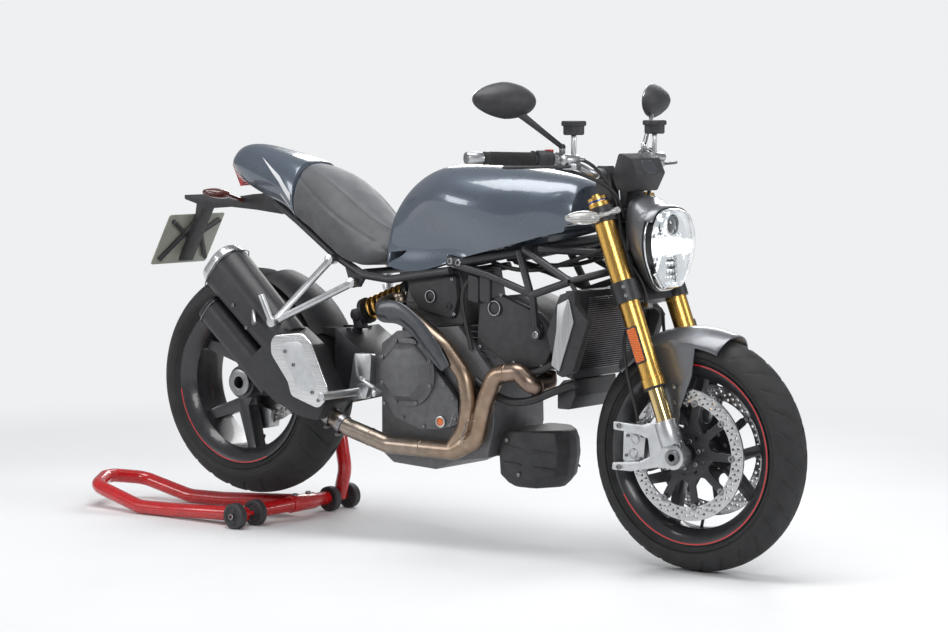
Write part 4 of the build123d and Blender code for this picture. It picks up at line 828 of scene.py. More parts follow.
# Rear disc, its bolts, and the toothed sprocket with six windows
def rear_disc_and_sprocket():
    holes = []
    for out, count, size, turn in ((0.094, 24, 0.0036, 0.0), (0.1035, 24, 0.0034, 0.13),
                                   (0.1130, 24, 0.0036, 0.26)):
        for i in range(count):
            angle = math.tau * i / count + turn
            holes.append(ring(size, 10, centre=(out * math.cos(angle), out * math.sin(angle))))
    disc = plate(ring(0.122, 140), 0.005, side_matrix(0.046, rear_axle), [ring(hub_bore, 40), *holes],
                 0.0005, 1)
    sprocket_half = 0.0035
    chain_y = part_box("rear_disc_and_sprocket")[1].y - sprocket_half
    teeth, outline = 42, []
    for i in range(teeth):
        for part, out in ((0.0, 0.0985), (0.18, 0.0945), (0.35, 0.0915), (0.65, 0.0915), (0.82, 0.0945)):
            angle = math.tau * (i + part) / teeth
            outline.append((out * math.cos(angle), out * math.sin(angle)))
    windows = [rounded([(r * math.cos(a), r * math.sin(a)) for r, a in
                        ((0.050, m - 0.34), (0.080, m - 0.36), (0.080, m + 0.36), (0.050, m + 0.34))],
                        0.008)
               for m in turns(6)]
    sprocket = plate(outline, 0.007, side_matrix(chain_y, rear_axle), [ring(hub_bore, 40), *windows],
                     0.0008, 1)
    fasteners = []
    for angle in turns(6, 0.5):
        place = rear_axle + spoke(0.040, angle, chain_y + sprocket_half)
        fasteners.append(bolt(place, (0, 1, 0), 0.0075, 0.006))
    made = joined([disc, sprocket])
    painted(made, "disc_steel_rear")
    kept(made, "rear_disc_and_sprocket_cut", "rear_wheel", None, ["rear_disc_and_sprocket"])
    kept(joined(fasteners), "sprocket_bolts", "rear_wheel", "steel_dark")


rear_disc_and_sprocket()


def loose_parts(obj):
    """Splits a piece into its separate solids."""
    clear_selection()
    obj.select_set(True)
    bpy.context.view_layer.objects.active = obj
    bpy.ops.mesh.separate(type="LOOSE")
    return list(bpy.context.selected_objects)


def middle(obj):
    points = [v.co for v in obj.data.vertices]
    return sum(points, Vector()) / len(points)


def loft(loops, cap_start=True):
    """Closed loops of the same count joined into a skin."""
    points = [p for loop in loops for p in loop]
    count = len(loops[0])
    faces = []
    for row in range(len(loops) - 1):
        for i in range(count):
            j = (i + 1) % count
            faces.append((row * count + i, row * count + j, (row + 1) * count + j, (row + 1) * count + i))
    if cap_start:
        faces.append(tuple(range(count)))
    faces.append(tuple((len(loops) - 1) * count + i for i in range(count)))
    return new_mesh(points, faces)


def on_surface(target, origin, direction):
    """Where a ray meets a piece."""
    hit, place, normal, _ = target.ray_cast(origin, direction)
    return (place, normal) if hit else (None, None)


# Nodes whose own shape is right: their edges are rounded for the light
for node_name, edge_width in (("swingarm", 0.004), ("rear_caliper", 0.003), ("fork_feet", 0.0022),
                              ("front_calipers", 0.003), ("crankcase", 0.003), ("cylinders", 0.003),
                              ("belt_covers", 0.004), ("engine_covers", 0.0035),
                              ("front_indicators", 0.0008),
                              ("plate_bracket", 0.0012), ("number_plate", 0.0005),
                              ("rear_indicators", 0.0008),
                              ("rider_footrests", 0.0014), ("foot_controls", 0.0008), ("side_stand", 0.001),
                              ("rear_wheel_axle", 0.0012), ("front_axle_shaft", 0.001),
                              ("fuel_cap", 0.0012),
                              ("pillion_hangers", 0.0012), ("radiator", 0.0012), ("tail_light", 0.0015),
                              ("paddock_stand", 0.001), ("front_mudguard", 0.0008)):
    softened(node_name, edge_width)


# Saddle: a simulated pad with a sunk seam line each side of its centre panel
def saddle():
    pad = copy_of_node("saddle")
    low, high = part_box("saddle")
    centre = (low + high) / 2
    for vertex in pad.data.vertices:
        vertex.co.y *= 0.985
        vertex.co.z = centre.z + (vertex.co.z - centre.z) * 0.985
    modified(pad, "REMESH", mode="VOXEL", voxel_size=0.006, adaptivity=0.0)
    rest = [vertex.co.copy() for vertex in pad.data.vertices]
    cap = 0.007
    cloth = pad.modifiers.new("cloth", "CLOTH")
    cloth.settings.use_pressure = True
    cloth.settings.uniform_pressure_force = 4.0
    cloth.settings.quality = 5
    cloth.settings.effector_weights.gravity = 0.0
    cloth.settings.tension_stiffness = 25
    cloth.settings.bending_stiffness = 1.5
    scene = bpy.context.scene
    for step in range(1, 15):
        scene.frame_set(step)
    with bpy.context.temp_override(object=pad, active_object=pad):
        bpy.ops.object.modifier_apply(modifier=cloth.name)
    scene.frame_set(1)
    for vertex, start in zip(pad.data.vertices, rest):
        step = vertex.co - start
        if step.length > cap:
            vertex.co = start + step.normalized() * cap
    modified(pad, "SMOOTH", factor=0.6, iterations=6)
    modified(pad, "SUBSURF", levels=1, render_levels=1)
    length = high.x - low.x

    def seam_half(x):
        """Half width of the centre panel along the saddle."""
        share = (x - low.x) / length
        return 0.050 + 0.030 * math.sin(math.pi * min(1.0, max(0.0, share * 1.05))) - 0.022 * share

    normals = [v.normal.copy() for v in pad.data.vertices]
    for vertex, normal in zip(pad.data.vertices, normals):
        if normal.z > 0.15:
            gap = abs(abs(vertex.co.y) - seam_half(vertex.co.x))
            vertex.co -= normal * 0.0022 * math.exp(-(gap / 0.0045) ** 2)
            if abs(vertex.co.y) < seam_half(vertex.co.x):
                inner = 1 - (abs(vertex.co.y) / seam_half(vertex.co.x)) ** 2
                vertex.co += normal * 0.002 * inner
        side = abs(vertex.co.z - (vertex.co.x * -0.62 + 0.730))
        if normal.z < 0.6 and abs(normal.y) > 0.4:
            vertex.co -= normal * 0.0016 * math.exp(-(side / 0.005) ** 2)
    painted(pad, "seat_cover")
    pad.data.materials.append(finish["seat_panel"])
    for face in pad.data.polygons:
        if face.normal.z > 0.2 and abs(face.center.y) < seam_half(face.center.x) - 0.002:
            face.material_index = 1
    kept(pad, "saddle_pad", "root", None, ["saddle"], 60)
    stitches = []
    for side in (1, -1):
        x = low.x + 0.02
        while x < high.x - 0.03:
            y = side * (seam_half(x) + 0.0052)
            place, normal = on_surface(pad, Vector((x, y, high.z + 0.1)), Vector((0, 0, -1)))
            after, _ = on_surface(pad, Vector((x + 0.0038, side * (seam_half(x + 0.0038) + 0.0052), high.z
                                               + 0.1)),
                                      Vector((0, 0, -1)))
            if place and after:
                stitches.append(bar(place + normal * 0.0002, after + normal * 0.0002, 0.00045, 5))
            x += 0.0062
    kept(joined(stitches), "saddle_stitching", "root", "thread_grey")


saddle()


# Tank: the node's form with softened creases, and the ring of screws round the filler with its lock
def tank():
    skin = copy_of_node("fuel_tank")
    skin.data.materials.clear()
    rounded_part(skin, 0.004, 24)
    kept(skin, "fuel_tank_skin", "root", "body_paint", ["fuel_tank"], 38)
    low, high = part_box("fuel_cap")
    filler_x = 0.300
    centre = Vector((filler_x, 0, low.z - 0.0003))
    screws = []
    for across, ahead in ring(0.0437, 6, math.tau * 0.5 / 6):
        screws.append(bolt(centre + Vector((across, ahead, 0)), (0, 0, 1), 0.0028, 0.0016))
    kept(joined(screws), "filler_ring_screws", "root", "steel_dark")
    lock = turned([(0.0, 0.0125), (0.0016, 0.0125), (0.0022, 0.0115), (0.0022, 0.004), (0.0006, 0.0035),
                   (0.0006, 0.0001)],
                  Vector((filler_x, 0, high.z - 0.0068)), (0, 0, 1), 32)
    kept(lock, "filler_lock", "fuel_cap", "steel_dark")


tank()


def laid_strip(target, name, low_line, high_line):
    """A white band laid on both sides of a panel between two lines of places."""
    direction = wheel_axis
    lift, steps, across = 0.0004, 26, 6
    points, faces = [], []

    def along(line, t):
        t = t * (len(line) - 1)
        i = min(int(t), len(line) - 2)
        return line[i].lerp(line[i + 1], t - i)

    for i in range(steps + 1):
        for j in range(across + 1):
            origin = along(low_line, i / steps).lerp(along(high_line, i / steps), j / across)
            place, normal = on_surface(target, origin - direction * 0.2, direction)
            points.append((place + normal * lift) if place else origin)
    for i in range(steps):
        for j in range(across):
            a = i * (across + 1) + j
            faces.append((a, a + 1, a + across + 2, a + across + 1))
    band = new_mesh(points, faces)
    for face in band.data.polygons:
        if face.normal.dot(direction) > 0:
            face.flip()
    kept(mirrored(band), name, "root", "white_paint")


def tail():
    skin = copy_of_node("tail_cowl")
    rounded_part(skin, 0.005, 26)
    kept(skin, "tail_cowl_skin", "root", "body_paint", ["tail_cowl"], 40)
    laid_strip(skin, "tail_side_stripe", [at(-400, -140, 902), at(-450, -140, 955), at(-510, -140, 1000)],
               [at(-400, -140, 925), at(-450, -140, 972), at(-540, -140, 1022)])
    laid_strip(skin, "tail_side_dash", [at(-404, -140, 880), at(-440, -140, 915)],
               [at(-404, -140, 888), at(-444, -140, 925)])


tail()


# Headlight: bowl, chrome rim, clear lens, faceted reflector, light bar and projector
lens_low, lens_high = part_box("headlight_lens")
lamp_z = lens_high.z - 0.102


def lamp_loop(half, top, bottom, x, count=64, lift=0.0):
    """The lamp's egg-shaped outline at a station, sizes in millimetres."""
    knots = [(0, top), (0.40 * half, top * 0.97), (0.72 * half, top * 0.84), (0.95 * half, top * 0.5),
             (half, top * 0.12),
             (0.93 * half, bottom * 0.24), (0.78 * half, bottom * 0.52), (0.60 * half, bottom * 0.78),
             (0.40 * half, bottom * 0.95), (0.18 * half, bottom)]
    knots += [(-a, b) for a, b in reversed(knots[1:])]
    size = len(knots)
    loop = []
    for i in range(count):
        t = i / count * size
        k = int(t) % size
        f = t - int(t)
        v = flowed([Vector(knots[(k + d) % size]) for d in (-1, 0, 1, 2)], f)
        loop.append(Vector((x, v.x * mm, lamp_z + v.y * mm + lift)))
    return loop


def shrunk(loop, share, x):
    centre = sum(loop, Vector()) / len(loop)
    return [Vector((x, centre.y + (p.y - centre.y) * share, centre.z + (p.z - centre.z) * share))
            for p in loop]


def headlight():
    back = lens_low.x
    glass_loops = [lamp_loop(96.5, 99.5, -106.5, back + 0.003), lamp_loop(95.5, 98.5, -105.5, back + 0.016)]
    for share, ahead in ((0.985, 0.024), (0.94, 0.033), (0.84, 0.0405), (0.68, 0.0452), (0.45, 0.0475),
                         (0.2, 0.0483)):
        glass_loops.append(shrunk(glass_loops[1], share, back + ahead))
    glass = loft(glass_loops, cap_start=False)
    modified(glass, "SOLIDIFY", thickness=0.0022, offset=-1)
    kept(glass, "headlight_glass", "steering", "clear_lens", ["headlight_lens"], 70)
    rim_data = [p + Vector((0.004, 0, 0)) for p in lamp_loop(98, 101, -108, back)]
    rim_piece = pipe([tuple(p) for p in rim_data[::2]], 0.0028, 12, cyclic=True)
    kept(rim_piece, "headlight_rim", "steering", "chrome", (), 70)
    # Reflector: a shallow bowl in flat facets, split by the light bar
    bowl_outer = lamp_loop(93, 96, -103, back + 0.022, 28)
    bowl = loft([bowl_outer, shrunk(bowl_outer, 0.86, back + 0.012), shrunk(bowl_outer, 0.62, back + 0.006),
                 shrunk(bowl_outer, 0.34, back + 0.003)], cap_start=False)
    kept(bowl, "headlight_reflector", "steering", "chrome", (), 5)
    parts = []
    for z, width, count in ((26, 62, 9), (-26, 64, 10), (-44, 54, 8), (-62, 44, 7), (-78, 34, 5)):
        for i in range(count):
            y = width * (2 * (i + 0.5) / count - 1)
            facet = primitive("uv_sphere", segments=8, ring_count=5, radius=0.0062)
            facet.location = at(0, y, 0) + Vector((back + 0.010, 0, lamp_z + z * mm))
            facet.scale = (0.55, 1.05, 1.15)
            parts.append(facet)
    kept(joined(parts), "headlight_facets", "steering", "chrome", (), 20)
    bar_outline = rounded([(-0.082, 0.013), (0.082, 0.013), (0.076, -0.015), (-0.076, -0.015)], 0.006)
    face_forward = Matrix.Translation((back + 0.022, 0, lamp_z)) @ Matrix.Rotation(math.radians(90), 4,
                                                                                   "Z") @ \
        Matrix.Rotation(math.radians(90), 4, "X")
    light_bar = plate(bar_outline, 0.016, face_forward, edge=0.003)
    kept(light_bar, "headlight_light_bar", "steering", "lamp_glow", (), 40)
    centre = Vector((back + 0.008, 0, lamp_z + 0.056))
    housing = turned([(0.0, 0.034), (0.012, 0.034), (0.016, 0.031), (0.016, 0.026), (0.008, 0.024)], centre,
                     (1, 0, 0), 40)
    kept(housing, "projector_ring", "steering", "chrome", (), 40)
    eye = turned([(0.004, 0.0238), (0.010, 0.021), (0.0145, 0.014), (0.0165, 0.006), (0.0168, 0.0001)],
                 centre, (1, 0, 0), 40)
    kept(eye, "projector_eye", "steering", "screen_dark", (), 60)
    sides = []
    for hand in (1, -1):
        blade = plate(rounded([(0.010, 0.012), (0.022, 0.026), (0.060, -0.050), (0.036, -0.080),
                               (0.020, -0.076)], 0.006),
                      0.008, face_forward @ Matrix.Scale(hand, 4, (1, 0, 0))
                      @ Matrix.Translation((0.012, -0.020, -0.004)),
                      edge=0.002)
        sides.append(blade)
    kept(joined([cleaned(s) for s in sides]), "headlight_blades", "steering", "chrome", (),
         30)


headlight()


def lamp_bowl():
    """The bowl behind the lens, with its raised lip over the lens."""
    low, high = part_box("headlight_housing")
    front, rear = high.x, low.x
    loops = []
    for ahead, half, top, bottom, lift in ((0.0, 104.5, 106, -112, 0.0), (0.002, 105, 107, -112.5, 0.0),
                                           (0.2, 101, 106, -110, 0.003),
                                           (0.5, 90, 103, -101, 0.020), (0.78, 76, 92, -84, 0.037),
                                           (0.93, 64, 80, -68, 0.044), (1.0, 50, 64, -52, 0.046)):
        loops.append(lamp_loop(half, top, bottom, front + (rear - front) * ahead, 64, lift))
    inner = lamp_loop(99.5, 102.5, -108.5, front - 0.0005)
    bowl = loft([inner] + loops)
    kept(bowl, "headlight_bowl", "steering", "lamp_paint", ["headlight_housing"], 50)
    points, faces = [], []
    span = list(range(-9, 10))
    for x, grow in ((front - 0.026, 0.0006), (front - 0.004, 0.0012), (front + 0.010, 0.0004),
                    (front + 0.022, -0.006)):
        loop = lamp_loop(104.5, 106, -112, x)
        for i in span:
            p = loop[i % 64]
            out = Vector((0, p.y, p.z - lamp_z)).normalized()
            points.append(p + out * grow)
    for row in range(3):
        for i in range(len(span) - 1):
            a = row * len(span) + i
            faces.append((a, a + 1, a + len(span) + 1, a + len(span)))
    visor = modified(new_mesh(points, faces), "SOLIDIFY", thickness=0.0022, offset=-1)
    modified(visor, "SUBSURF", levels=1, render_levels=1)
    kept(visor, "headlight_visor", "steering", "lamp_paint", (), 60)


lamp_bowl()


def bolts_at(places, axis, radius=0.005, height=0.004):
    return [bolt(at(*p), axis, radius, height) for p in places]


# Exhaust: pipes with weld beads and clamps, the shields and the silencers' caps
def exhaust():
    pipes = copy_of_node("exhaust_headers")
    kept(pipes, "exhaust_pipes", "root", "header_steel", ["exhaust_headers"], 60)
    beads = []
    for centre, axis, radius in (((444, -118, 446.5), (0, -1, 0.02), 24.6),
                                 ((367, -137, 479), (-1, 0, -0.12), 24.6),
                                 ((284, -141, 350), (0.25, 0, 1), 24.6), ((95, -144, 264), (1, 0, 0), 24.6),
                                 ((-78, -152, 281), (-0.93, -0.1, 0.3), 24.6),
                                 ((238, -143, 436), (0.2, 0, 1), 23.6)):
        beads.append(turned([(-0.0022, (radius - 0.8) * mm), (-0.001, (radius + 0.5) * mm),
                             (0.001, (radius + 0.5) * mm),
                             (0.0022, (radius - 0.8) * mm)], at(*centre), axis, 40))
    kept(joined(beads), "exhaust_weld_beads", "root", "header_steel", (), 60)
    clamps = []
    run = (at(-262, -169, 356) - at(-150, -160, 302)).normalized()
    for along in (20, 62):
        centre = at(-150, -160, 302) + run * (along * mm)
        clamps.append(turned([(-0.008, 0.0245), (-0.008, 0.0268), (0.008, 0.0268), (0.008, 0.0245)], centre,
                             run, 44, closed=True))
        clamps.append(bolt(centre + Vector((0, -0.012, -0.027)), (0, -1, 0), 0.0045, 0.016))
    kept(joined(clamps), "exhaust_clamps", "root", "steel_dark", (), 40)
    springs = []
    for start, end in (((262, -168, 352), (240, -170, 290)), ((224, -168, 378), (200, -168, 330))):
        start, end = at(*start), at(*end)
        wire = []
        for i in range(61):
            angle = i * 1.05
            wire.append(tuple(start.lerp(end, i / 60) + Vector((math.cos(angle) * 0.003,
                                                                math.sin(angle) * 0.003, 0))))
        springs.append(pipe(wire, 0.0009, 6, resolution=2))
    kept(joined(springs), "exhaust_springs", "root", "steel_dark", (), 60)


exhaust()


def header_shield():
    """The long shield over the rear header, a domed strip with three slots, and the guard at the heel."""
    top = [at(-44, -166, 628), at(-22, -166, 648), at(40, -166, 649), at(112, -166, 606),
           at(168, -166, 548), at(203, -166, 492)]
    low = [at(-40, -166, 600), at(-20, -166, 592), at(34, -166, 588), at(92, -166, 552), at(136, -166, 504),
           at(176, -166, 474)]
    steps, across = 30, 10
    curves = []
    for line in (top, low):
        data = []
        for i in range(steps + 1):
            t = i / steps * (len(line) - 1)
            k = min(int(t), len(line) - 2)
            data.append(flowed([line[min(max(k + d, 0), len(line) - 1)] for d in (-1, 0, 1, 2)], t - k))
        curves.append(data)
    points, faces = [], []
    for i in range(steps + 1):
        for j in range(across + 1):
            s = j / across
            place = curves[0][i].lerp(curves[1][i], s)
            bulge = 0.0115 * (1 - abs(2 * s - 0.75) ** 2.2) * min(1.0, 4 * i / steps
                                                                  + 0.35) * min(1.0, 5 * (1 - i / steps)
                                                                                + 0.3)
            groove = 0.0035 if 0.66 < s < 0.84 and i % 10 in (3, 4, 5, 6, 7) else 0.0
            points.append(place + Vector((0, -max(0.0, bulge) + groove, 0)))
    for i in range(steps):
        for j in range(across):
            a = i * (across + 1) + j
            faces.append((a, a + across + 1, a + across + 2, a + 1))
    strip = modified(new_mesh(points, faces), "SOLIDIFY", thickness=0.0022, offset=1)
    modified(strip, "SUBSURF", levels=1, render_levels=1)
    heel = plate(rounded(metres([(-350, 528), (-338, 545), (-244, 555), (-212, 530), (-154, 412),
                                 (-165, 380), (-187, 361),
                                 (-278, 388), (-290, 425), (-349, 496)]), 0.010), 0.0075,
                                 side_matrix(-0.2402), edge=0.0034)
    panel = plate(rounded(metres([(-318, 512), (-300, 530), (-250, 534), (-232, 516), (-190, 424),
                                  (-204, 396), (-262, 412),
                                  (-272, 436)]), 0.012), 0.002, side_matrix(-0.2434), edge=0.0009)
    painted(heel, "guard_alloy")
    painted(panel, "silver_alloy")
    posts = [bar(at(-270, -237, 470), at(-270, -222.5, 470), 0.009),
             bar(at(-204, -237, 400), at(-204, -222.5, 400), 0.009)]
    stubs = [bar(at(56, -169, 604), at(56, -164.6, 604), 0.007),
             bar(at(168, -169, 536), at(168, -165.6, 536), 0.007)]
    for piece in posts + stubs:
        painted(piece, "steel_dark")
    kept(painted(joined([strip]), "guard_grey"), "header_shield", "root", None, (), 50)
    kept(joined([heel, panel, *posts, *stubs]), "heel_guard", "root", None,
         ["exhaust_guards"], 40)
    kept(joined(bolts_at([(-270, -244, 470), (-204, -244, 400), (-300, -244, 505), (-182, -244, 380)],
                         (0, -1, 0), 0.0055, 0.0035)
                + bolts_at([(40, -171, 640), (150, -173, 560)], (0, -1, 0), 0.0045, 0.003)),
         "guard_bolts", "root", "steel_dark")


header_shield()


def silencer_cans():
    """The two cans with rounded ends: the upper one's cap is bright, the lower one's dark."""
    parts = loose_parts(copy_of_node("silencers"))
    parts.sort(key=lambda o: len(o.data.vertices))
    made = []
    for part in parts:
        centre = middle(part)
        painted(part, "silencer_black")
        if centre.x < -0.57 and centre.z > 0.66 and (max(v.co.x for v in part.data.vertices) < -0.5):
            painted(part, "cap_silver")
        made.append(rounded_part(part, 0.005, 28))
    kept(joined(made), "silencer_cans", "root", None, ["silencers"], 40)
    slope, across = Vector((-0.753, 0, 0.659)), Vector((0.659, 0, 0.753))
    near_end, roundness, proud = 0.985, 0.55, 0.6
    rows = []
    for start, length, wide, deep in (((-352, -172, 518), 302, 138, 116), ((-396, -168, 402), 300, 88, 96)):
        centre = at(*start) + slope * (length * near_end * mm)
        loop = []
        for a in turns(40):
            c, s = math.cos(a), math.sin(a)
            u = abs(c) ** roundness * math.copysign(1, c) * (wide / 2 + proud)
            v = abs(s) ** roundness * math.copysign(1, s) * (deep / 2 + proud)
            loop.append(tuple(centre + across * (u * mm) + Vector((0, v * mm, 0))))
        rows.append(pipe(loop, 0.0016, 8, cyclic=True, resolution=3))
    kept(joined(rows), "silencer_bands", "root", "steel_dark", (), 60)
    strap = bar(at(-430, -228, 606), at(-404, -250, 574), 0.008, 16, 0.001)
    kept(joined([strap] + bolts_at([(-452, -231, 560), (-500, -231, 620)], (0, -1, 0), 0.005, 0.003)),
         "silencer_hanger", "root", "steel_dark")


silencer_cans()


def belly_pan():
    """A closed tub with a pointed nose, chamfered sides and two ribs."""
    loops = []
    for z, shrink, nose, rear in ((175, 0.72, 446, 346), (186, 0.84, 458, 330), (208, 0.95, 474, 312),
                                  (262, 1.0, 483, 312),
                                  (300, 0.99, 480, 320), (322, 0.95, 472, 330), (327, 0.90, 464, 338)):
        half = 103 * shrink
        plan = [(rear, -half * 0.96), (rear + 14, -half), (394, -half), (412, -half * 0.93),
                (466 - (484 - nose), -half * 0.52),
                (nose - 3, -half * 0.16)]
        loops.append([at(x, y, z) for x, y in plan] + [at(x, -y, z) for x, y in reversed(plan)])
    pan = loft(loops)
    modified(pan, "BEVEL", width=0.005, segments=2, limit_method="ANGLE", angle_limit=math.radians(22))
    ribs = []
    for z in (232, 276):
        for side in (1, -1):
            ribs.append(bar(at(418, side * 92, z), at(462, side * 54, z - 8), 0.0024, 8, 0.0006))
            ribs.append(bar(at(330, side * 102.4, z + 10), at(384, side * 102.4, z + 6), 0.0022, 8, 0.0006))
    stays = [bar(at(280, side * 60, 256), at(318, side * 60, 256), 0.007) for side in (1, -1)]
    kept(joined([pan, *ribs, *stays]), "belly_pan_tub", "root", "dark_plastic",
         ["belly_pan"], 30)
    made = []
    for side in (-1, 1):
        made += bolts_at([(340, side * 103.5, 300), (378, side * 103.5, 212)], (0, side, 0), 0.0055, 0.003)
    kept(joined(made), "belly_pan_bolts", "root", "steel_dark")


belly_pan()


def radiator_sides():
    """Dark side covers, each with a brushed silver insert."""
    made = []
    for part in loose_parts(copy_of_node("radiator_covers")):
        wide = max(abs(v.co.y) for v in part.data.vertices)
        painted(part, "insert_silver" if wide > 0.181 else "dark_plastic")
        made.append(rounded_part(part, 0.0022, 28))
    kept(joined(made), "radiator_side_covers", "root", None, ["radiator_covers"], 35)
    fins = []
    for i in range(34):
        z = 0.500 + i * 0.0056
        x = 0.5835 + (z - 0.490) * 0.203
        fin = primitive("cube", size=1.0, location=(x + 0.0006, 0, z))
        fin.scale = (0.004, 0.272, 0.0014)
        fins.append(fin)
    kept(joined(fins), "radiator_fins", "root", "steel_dark", (), 30)


radiator_sides()


def engine_details():
    """Fasteners, ribs, sight glass and the round caps on the covers."""
    clutch = at(40, -172, 463)
    screws = []
    for angle in turns(8, 0.5):
        screws.append(bolt(at(clutch.x / mm + 87 * math.cos(angle), -147.5, 463 + 87 * math.sin(angle)),
                           (0, -1, 0), 0.0052, 0.005))
    for x, z in ((190, 400), (196, 345), (150, 324), (92, 320), (20, 338), (-42, 372), (-44, 420),
                 (118, 474), (160, 436)):
        screws.append(bolt(at(x, -137, z), (0, -1, 0), 0.0048, 0.004))
    for angle in turns(6):
        screws.append(bolt(at(96 + 80 * math.cos(angle), 139, 410 + 80 * math.sin(angle)), (0, 1, 0), 0.005,
                           0.004))
    kept(joined(screws), "engine_cover_screws", "root", "steel_dark")
    glass = turned([(0.0, 0.0155), (0.004, 0.0155), (0.005, 0.014), (0.005, 0.0115), (0.0025, 0.011)],
                   at(150, -137, 337), (0, -1, 0), 32)
    kept(glass, "oil_glass_ring", "root", "silver_alloy", (), 40)
    oil = turned([(0.0024, 0.0112), (0.0034, 0.006), (0.0036, 0.0001)], at(150, -137, 337), (0, -1, 0), 24)
    kept(oil, "oil_glass", "root", "amber_lens", (), 60)
    caps = []
    for x, z, r in ((311, 643, 20), (100, 664, 17), (452, 600, 12), (160, 640, 8)):
        caps.append(turned([(-0.001, r * mm), (0.005, r * mm), (0.0065, (r - 1.6) * mm),
                            (0.0065, (r - 4) * mm), (0.003, (r - 5) * mm),
                            (0.0045, (r - 8) * mm if r > 10 else 0.002), (0.005, 0.0001)],
                            at(x, belt_cover_face_mm, z), (0, -1, 0), 36))
    kept(joined(caps), "belt_cover_caps", "root", "dark_plastic", (), 40)
    rings = [turned([(0.0045, (r - 0.8) * mm), (0.0068, (r - 0.8) * mm), (0.0068, (r - 2.2) * mm),
                     (0.0045, (r - 2.2) * mm)],
                    at(x, belt_cover_face_mm, z), (0, -1, 0), 36, closed=True) for x, z,
                    r in ((311, 643, 20), (100, 664, 17))]
    kept(joined(rings), "belt_cover_rings", "root", "silver_alloy", (), 40)
    cover_bolts = ((270, 676), (330, 678), (440, 642), (490, 560), (460, 500), (370, 504),
                   (262, 540), (28, 712), (170, 712), (176, 620), (40, 616))
    fasteners = bolts_at([(x, belt_cover_face_mm, z) for x, z in cover_bolts], (0, -1, 0), 0.0048, 0.004)
    for side in (-1, 1):
        fasteners += bolts_at([(457, side * 136, 583), (183, side * 137, 761), (209, side * 137, 758)],
                              (0, side, 0), 0.0095, 0.006)
    kept(joined(fasteners), "frame_and_cover_bolts", "root", "steel_dark")
    boxes = []
    for x in (246, 284):
        box = plate(rounded(metres([(-15, -28), (15, -34), (15, 30), (-15, 36)]), 0.005), 0.012,
                    side_matrix(-0.119, at(x, 0, 690)), edge=0.002)
        boxes.append(box)
    kept(joined(boxes), "coil_boxes", "root", "dark_plastic", (), 35)
    # Cooling fins stand out from both cylinders
    fins = []
    for i in range(6):
        fins.append(plate(rounded(metres([(214, -96), (300, -96), (300, 96), (214, 96)]), 0.012), 0.0024,
                          Matrix.Translation((0.0, 0, 0.512 + i * 0.016)), edge=0.0007))
    for i in range(5):
        fins.append(plate(rounded(metres([(-12, -95.5), (176, -95.5), (176, 95.5), (-12, 95.5)]), 0.012),
                          0.0024,
                          Matrix.Translation((0.0, 0, 0.580 + i * 0.016)), edge=0.0007))
    kept(joined(fins), "cylinder_fins", "root", "engine_grey", (), 30)
    hoses = [pipe([(0.555, -0.10, 0.46), (0.50, -0.115, 0.44), (0.42, -0.112, 0.405), (0.33, -0.118, 0.40),
                   (0.25, -0.116, 0.45)], 0.011, 12),
             pipe([(0.575, -0.135, 0.52), (0.545, -0.128, 0.55), (0.50, -0.124, 0.50),
                   (0.40, -0.120, 0.47)], 0.009, 12),
             pipe([(0.29, -0.09, 0.74), (0.24, -0.11, 0.73), (0.20, -0.118, 0.68), (0.215, -0.117, 0.60),
                   (0.235, -0.116, 0.53)], 0.0065, 10),
             pipe([(0.60, -0.05, 0.80), (0.52, -0.07, 0.77), (0.44, -0.075, 0.745), (0.34, -0.085, 0.74),
                   (0.27, -0.075, 0.76)], 0.006, 10),
             pipe([(0.60, 0.05, 0.80), (0.50, 0.07, 0.765), (0.40, 0.08, 0.745), (0.30, 0.09, 0.745)],
                  0.006, 10)]
    kept(joined(hoses), "engine_hoses", "root", "hose_rubber", (), 60)


engine_details()


def shock_spring():
    """The coil over the shock's body, with its eyes and the link below."""
    low, high = at(-250, 0, 590), at(0, 0, 688)
    run = high - low
    side = run.cross(Vector((0, 1, 0))).normalized()
    other = Vector((0, 1, 0))
    start, end, coils, radius = 0.175, 0.745, 7.5, 0.0265
    coil = []
    steps = int(coils * 16)
    for i in range(steps + 1):
        t = i / steps
        angle = math.tau * coils * t
        coil.append(tuple(low + run * (start + (end - start) * t)
                          + (side * math.cos(angle) + other * math.sin(angle)) * radius))
    spring = pipe(coil, 0.0055, 12, resolution=2)
    painted(spring, "fork_gold")
    body = turned([(0.12, 0.018), (0.12, 0.036), (0.165, 0.036), (0.165, 0.019), (0.75, 0.019),
                   (0.75, 0.036), (0.80, 0.036),
                   (0.80, 0.018)], low, run, 36)
    for vertex in body.data.vertices:
        along = (vertex.co - low).dot(run.normalized())
        vertex.co += run.normalized() * (along * run.length - along)
    painted(body, "black_metal")
    rod_piece = bar(low + run * 0.02, low + run * 0.98, 0.016, 24, 0.001)
    painted(rod_piece, "silver_alloy")
    eyes = [drum(low + run * 0.02, (0, 1, 0), 0.017, 0.034, 28, 0.0015),
            drum(low + run * 0.97, (0, 1, 0), 0.015, 0.034, 28, 0.0015)]
    link = plate(rounded(metres([(-262, 604), (-236, 604), (-222, 556), (-249, 556)]), 0.006), 0.027,
                 side_matrix(0.0), edge=0.002)
    for piece in (*eyes, link):
        painted(piece, "black_metal")
    kept(joined([spring, body, rod_piece, *eyes, link]), "rear_shock_spring", "root", None,
         ["rear_shock"], 50)


shock_spring()


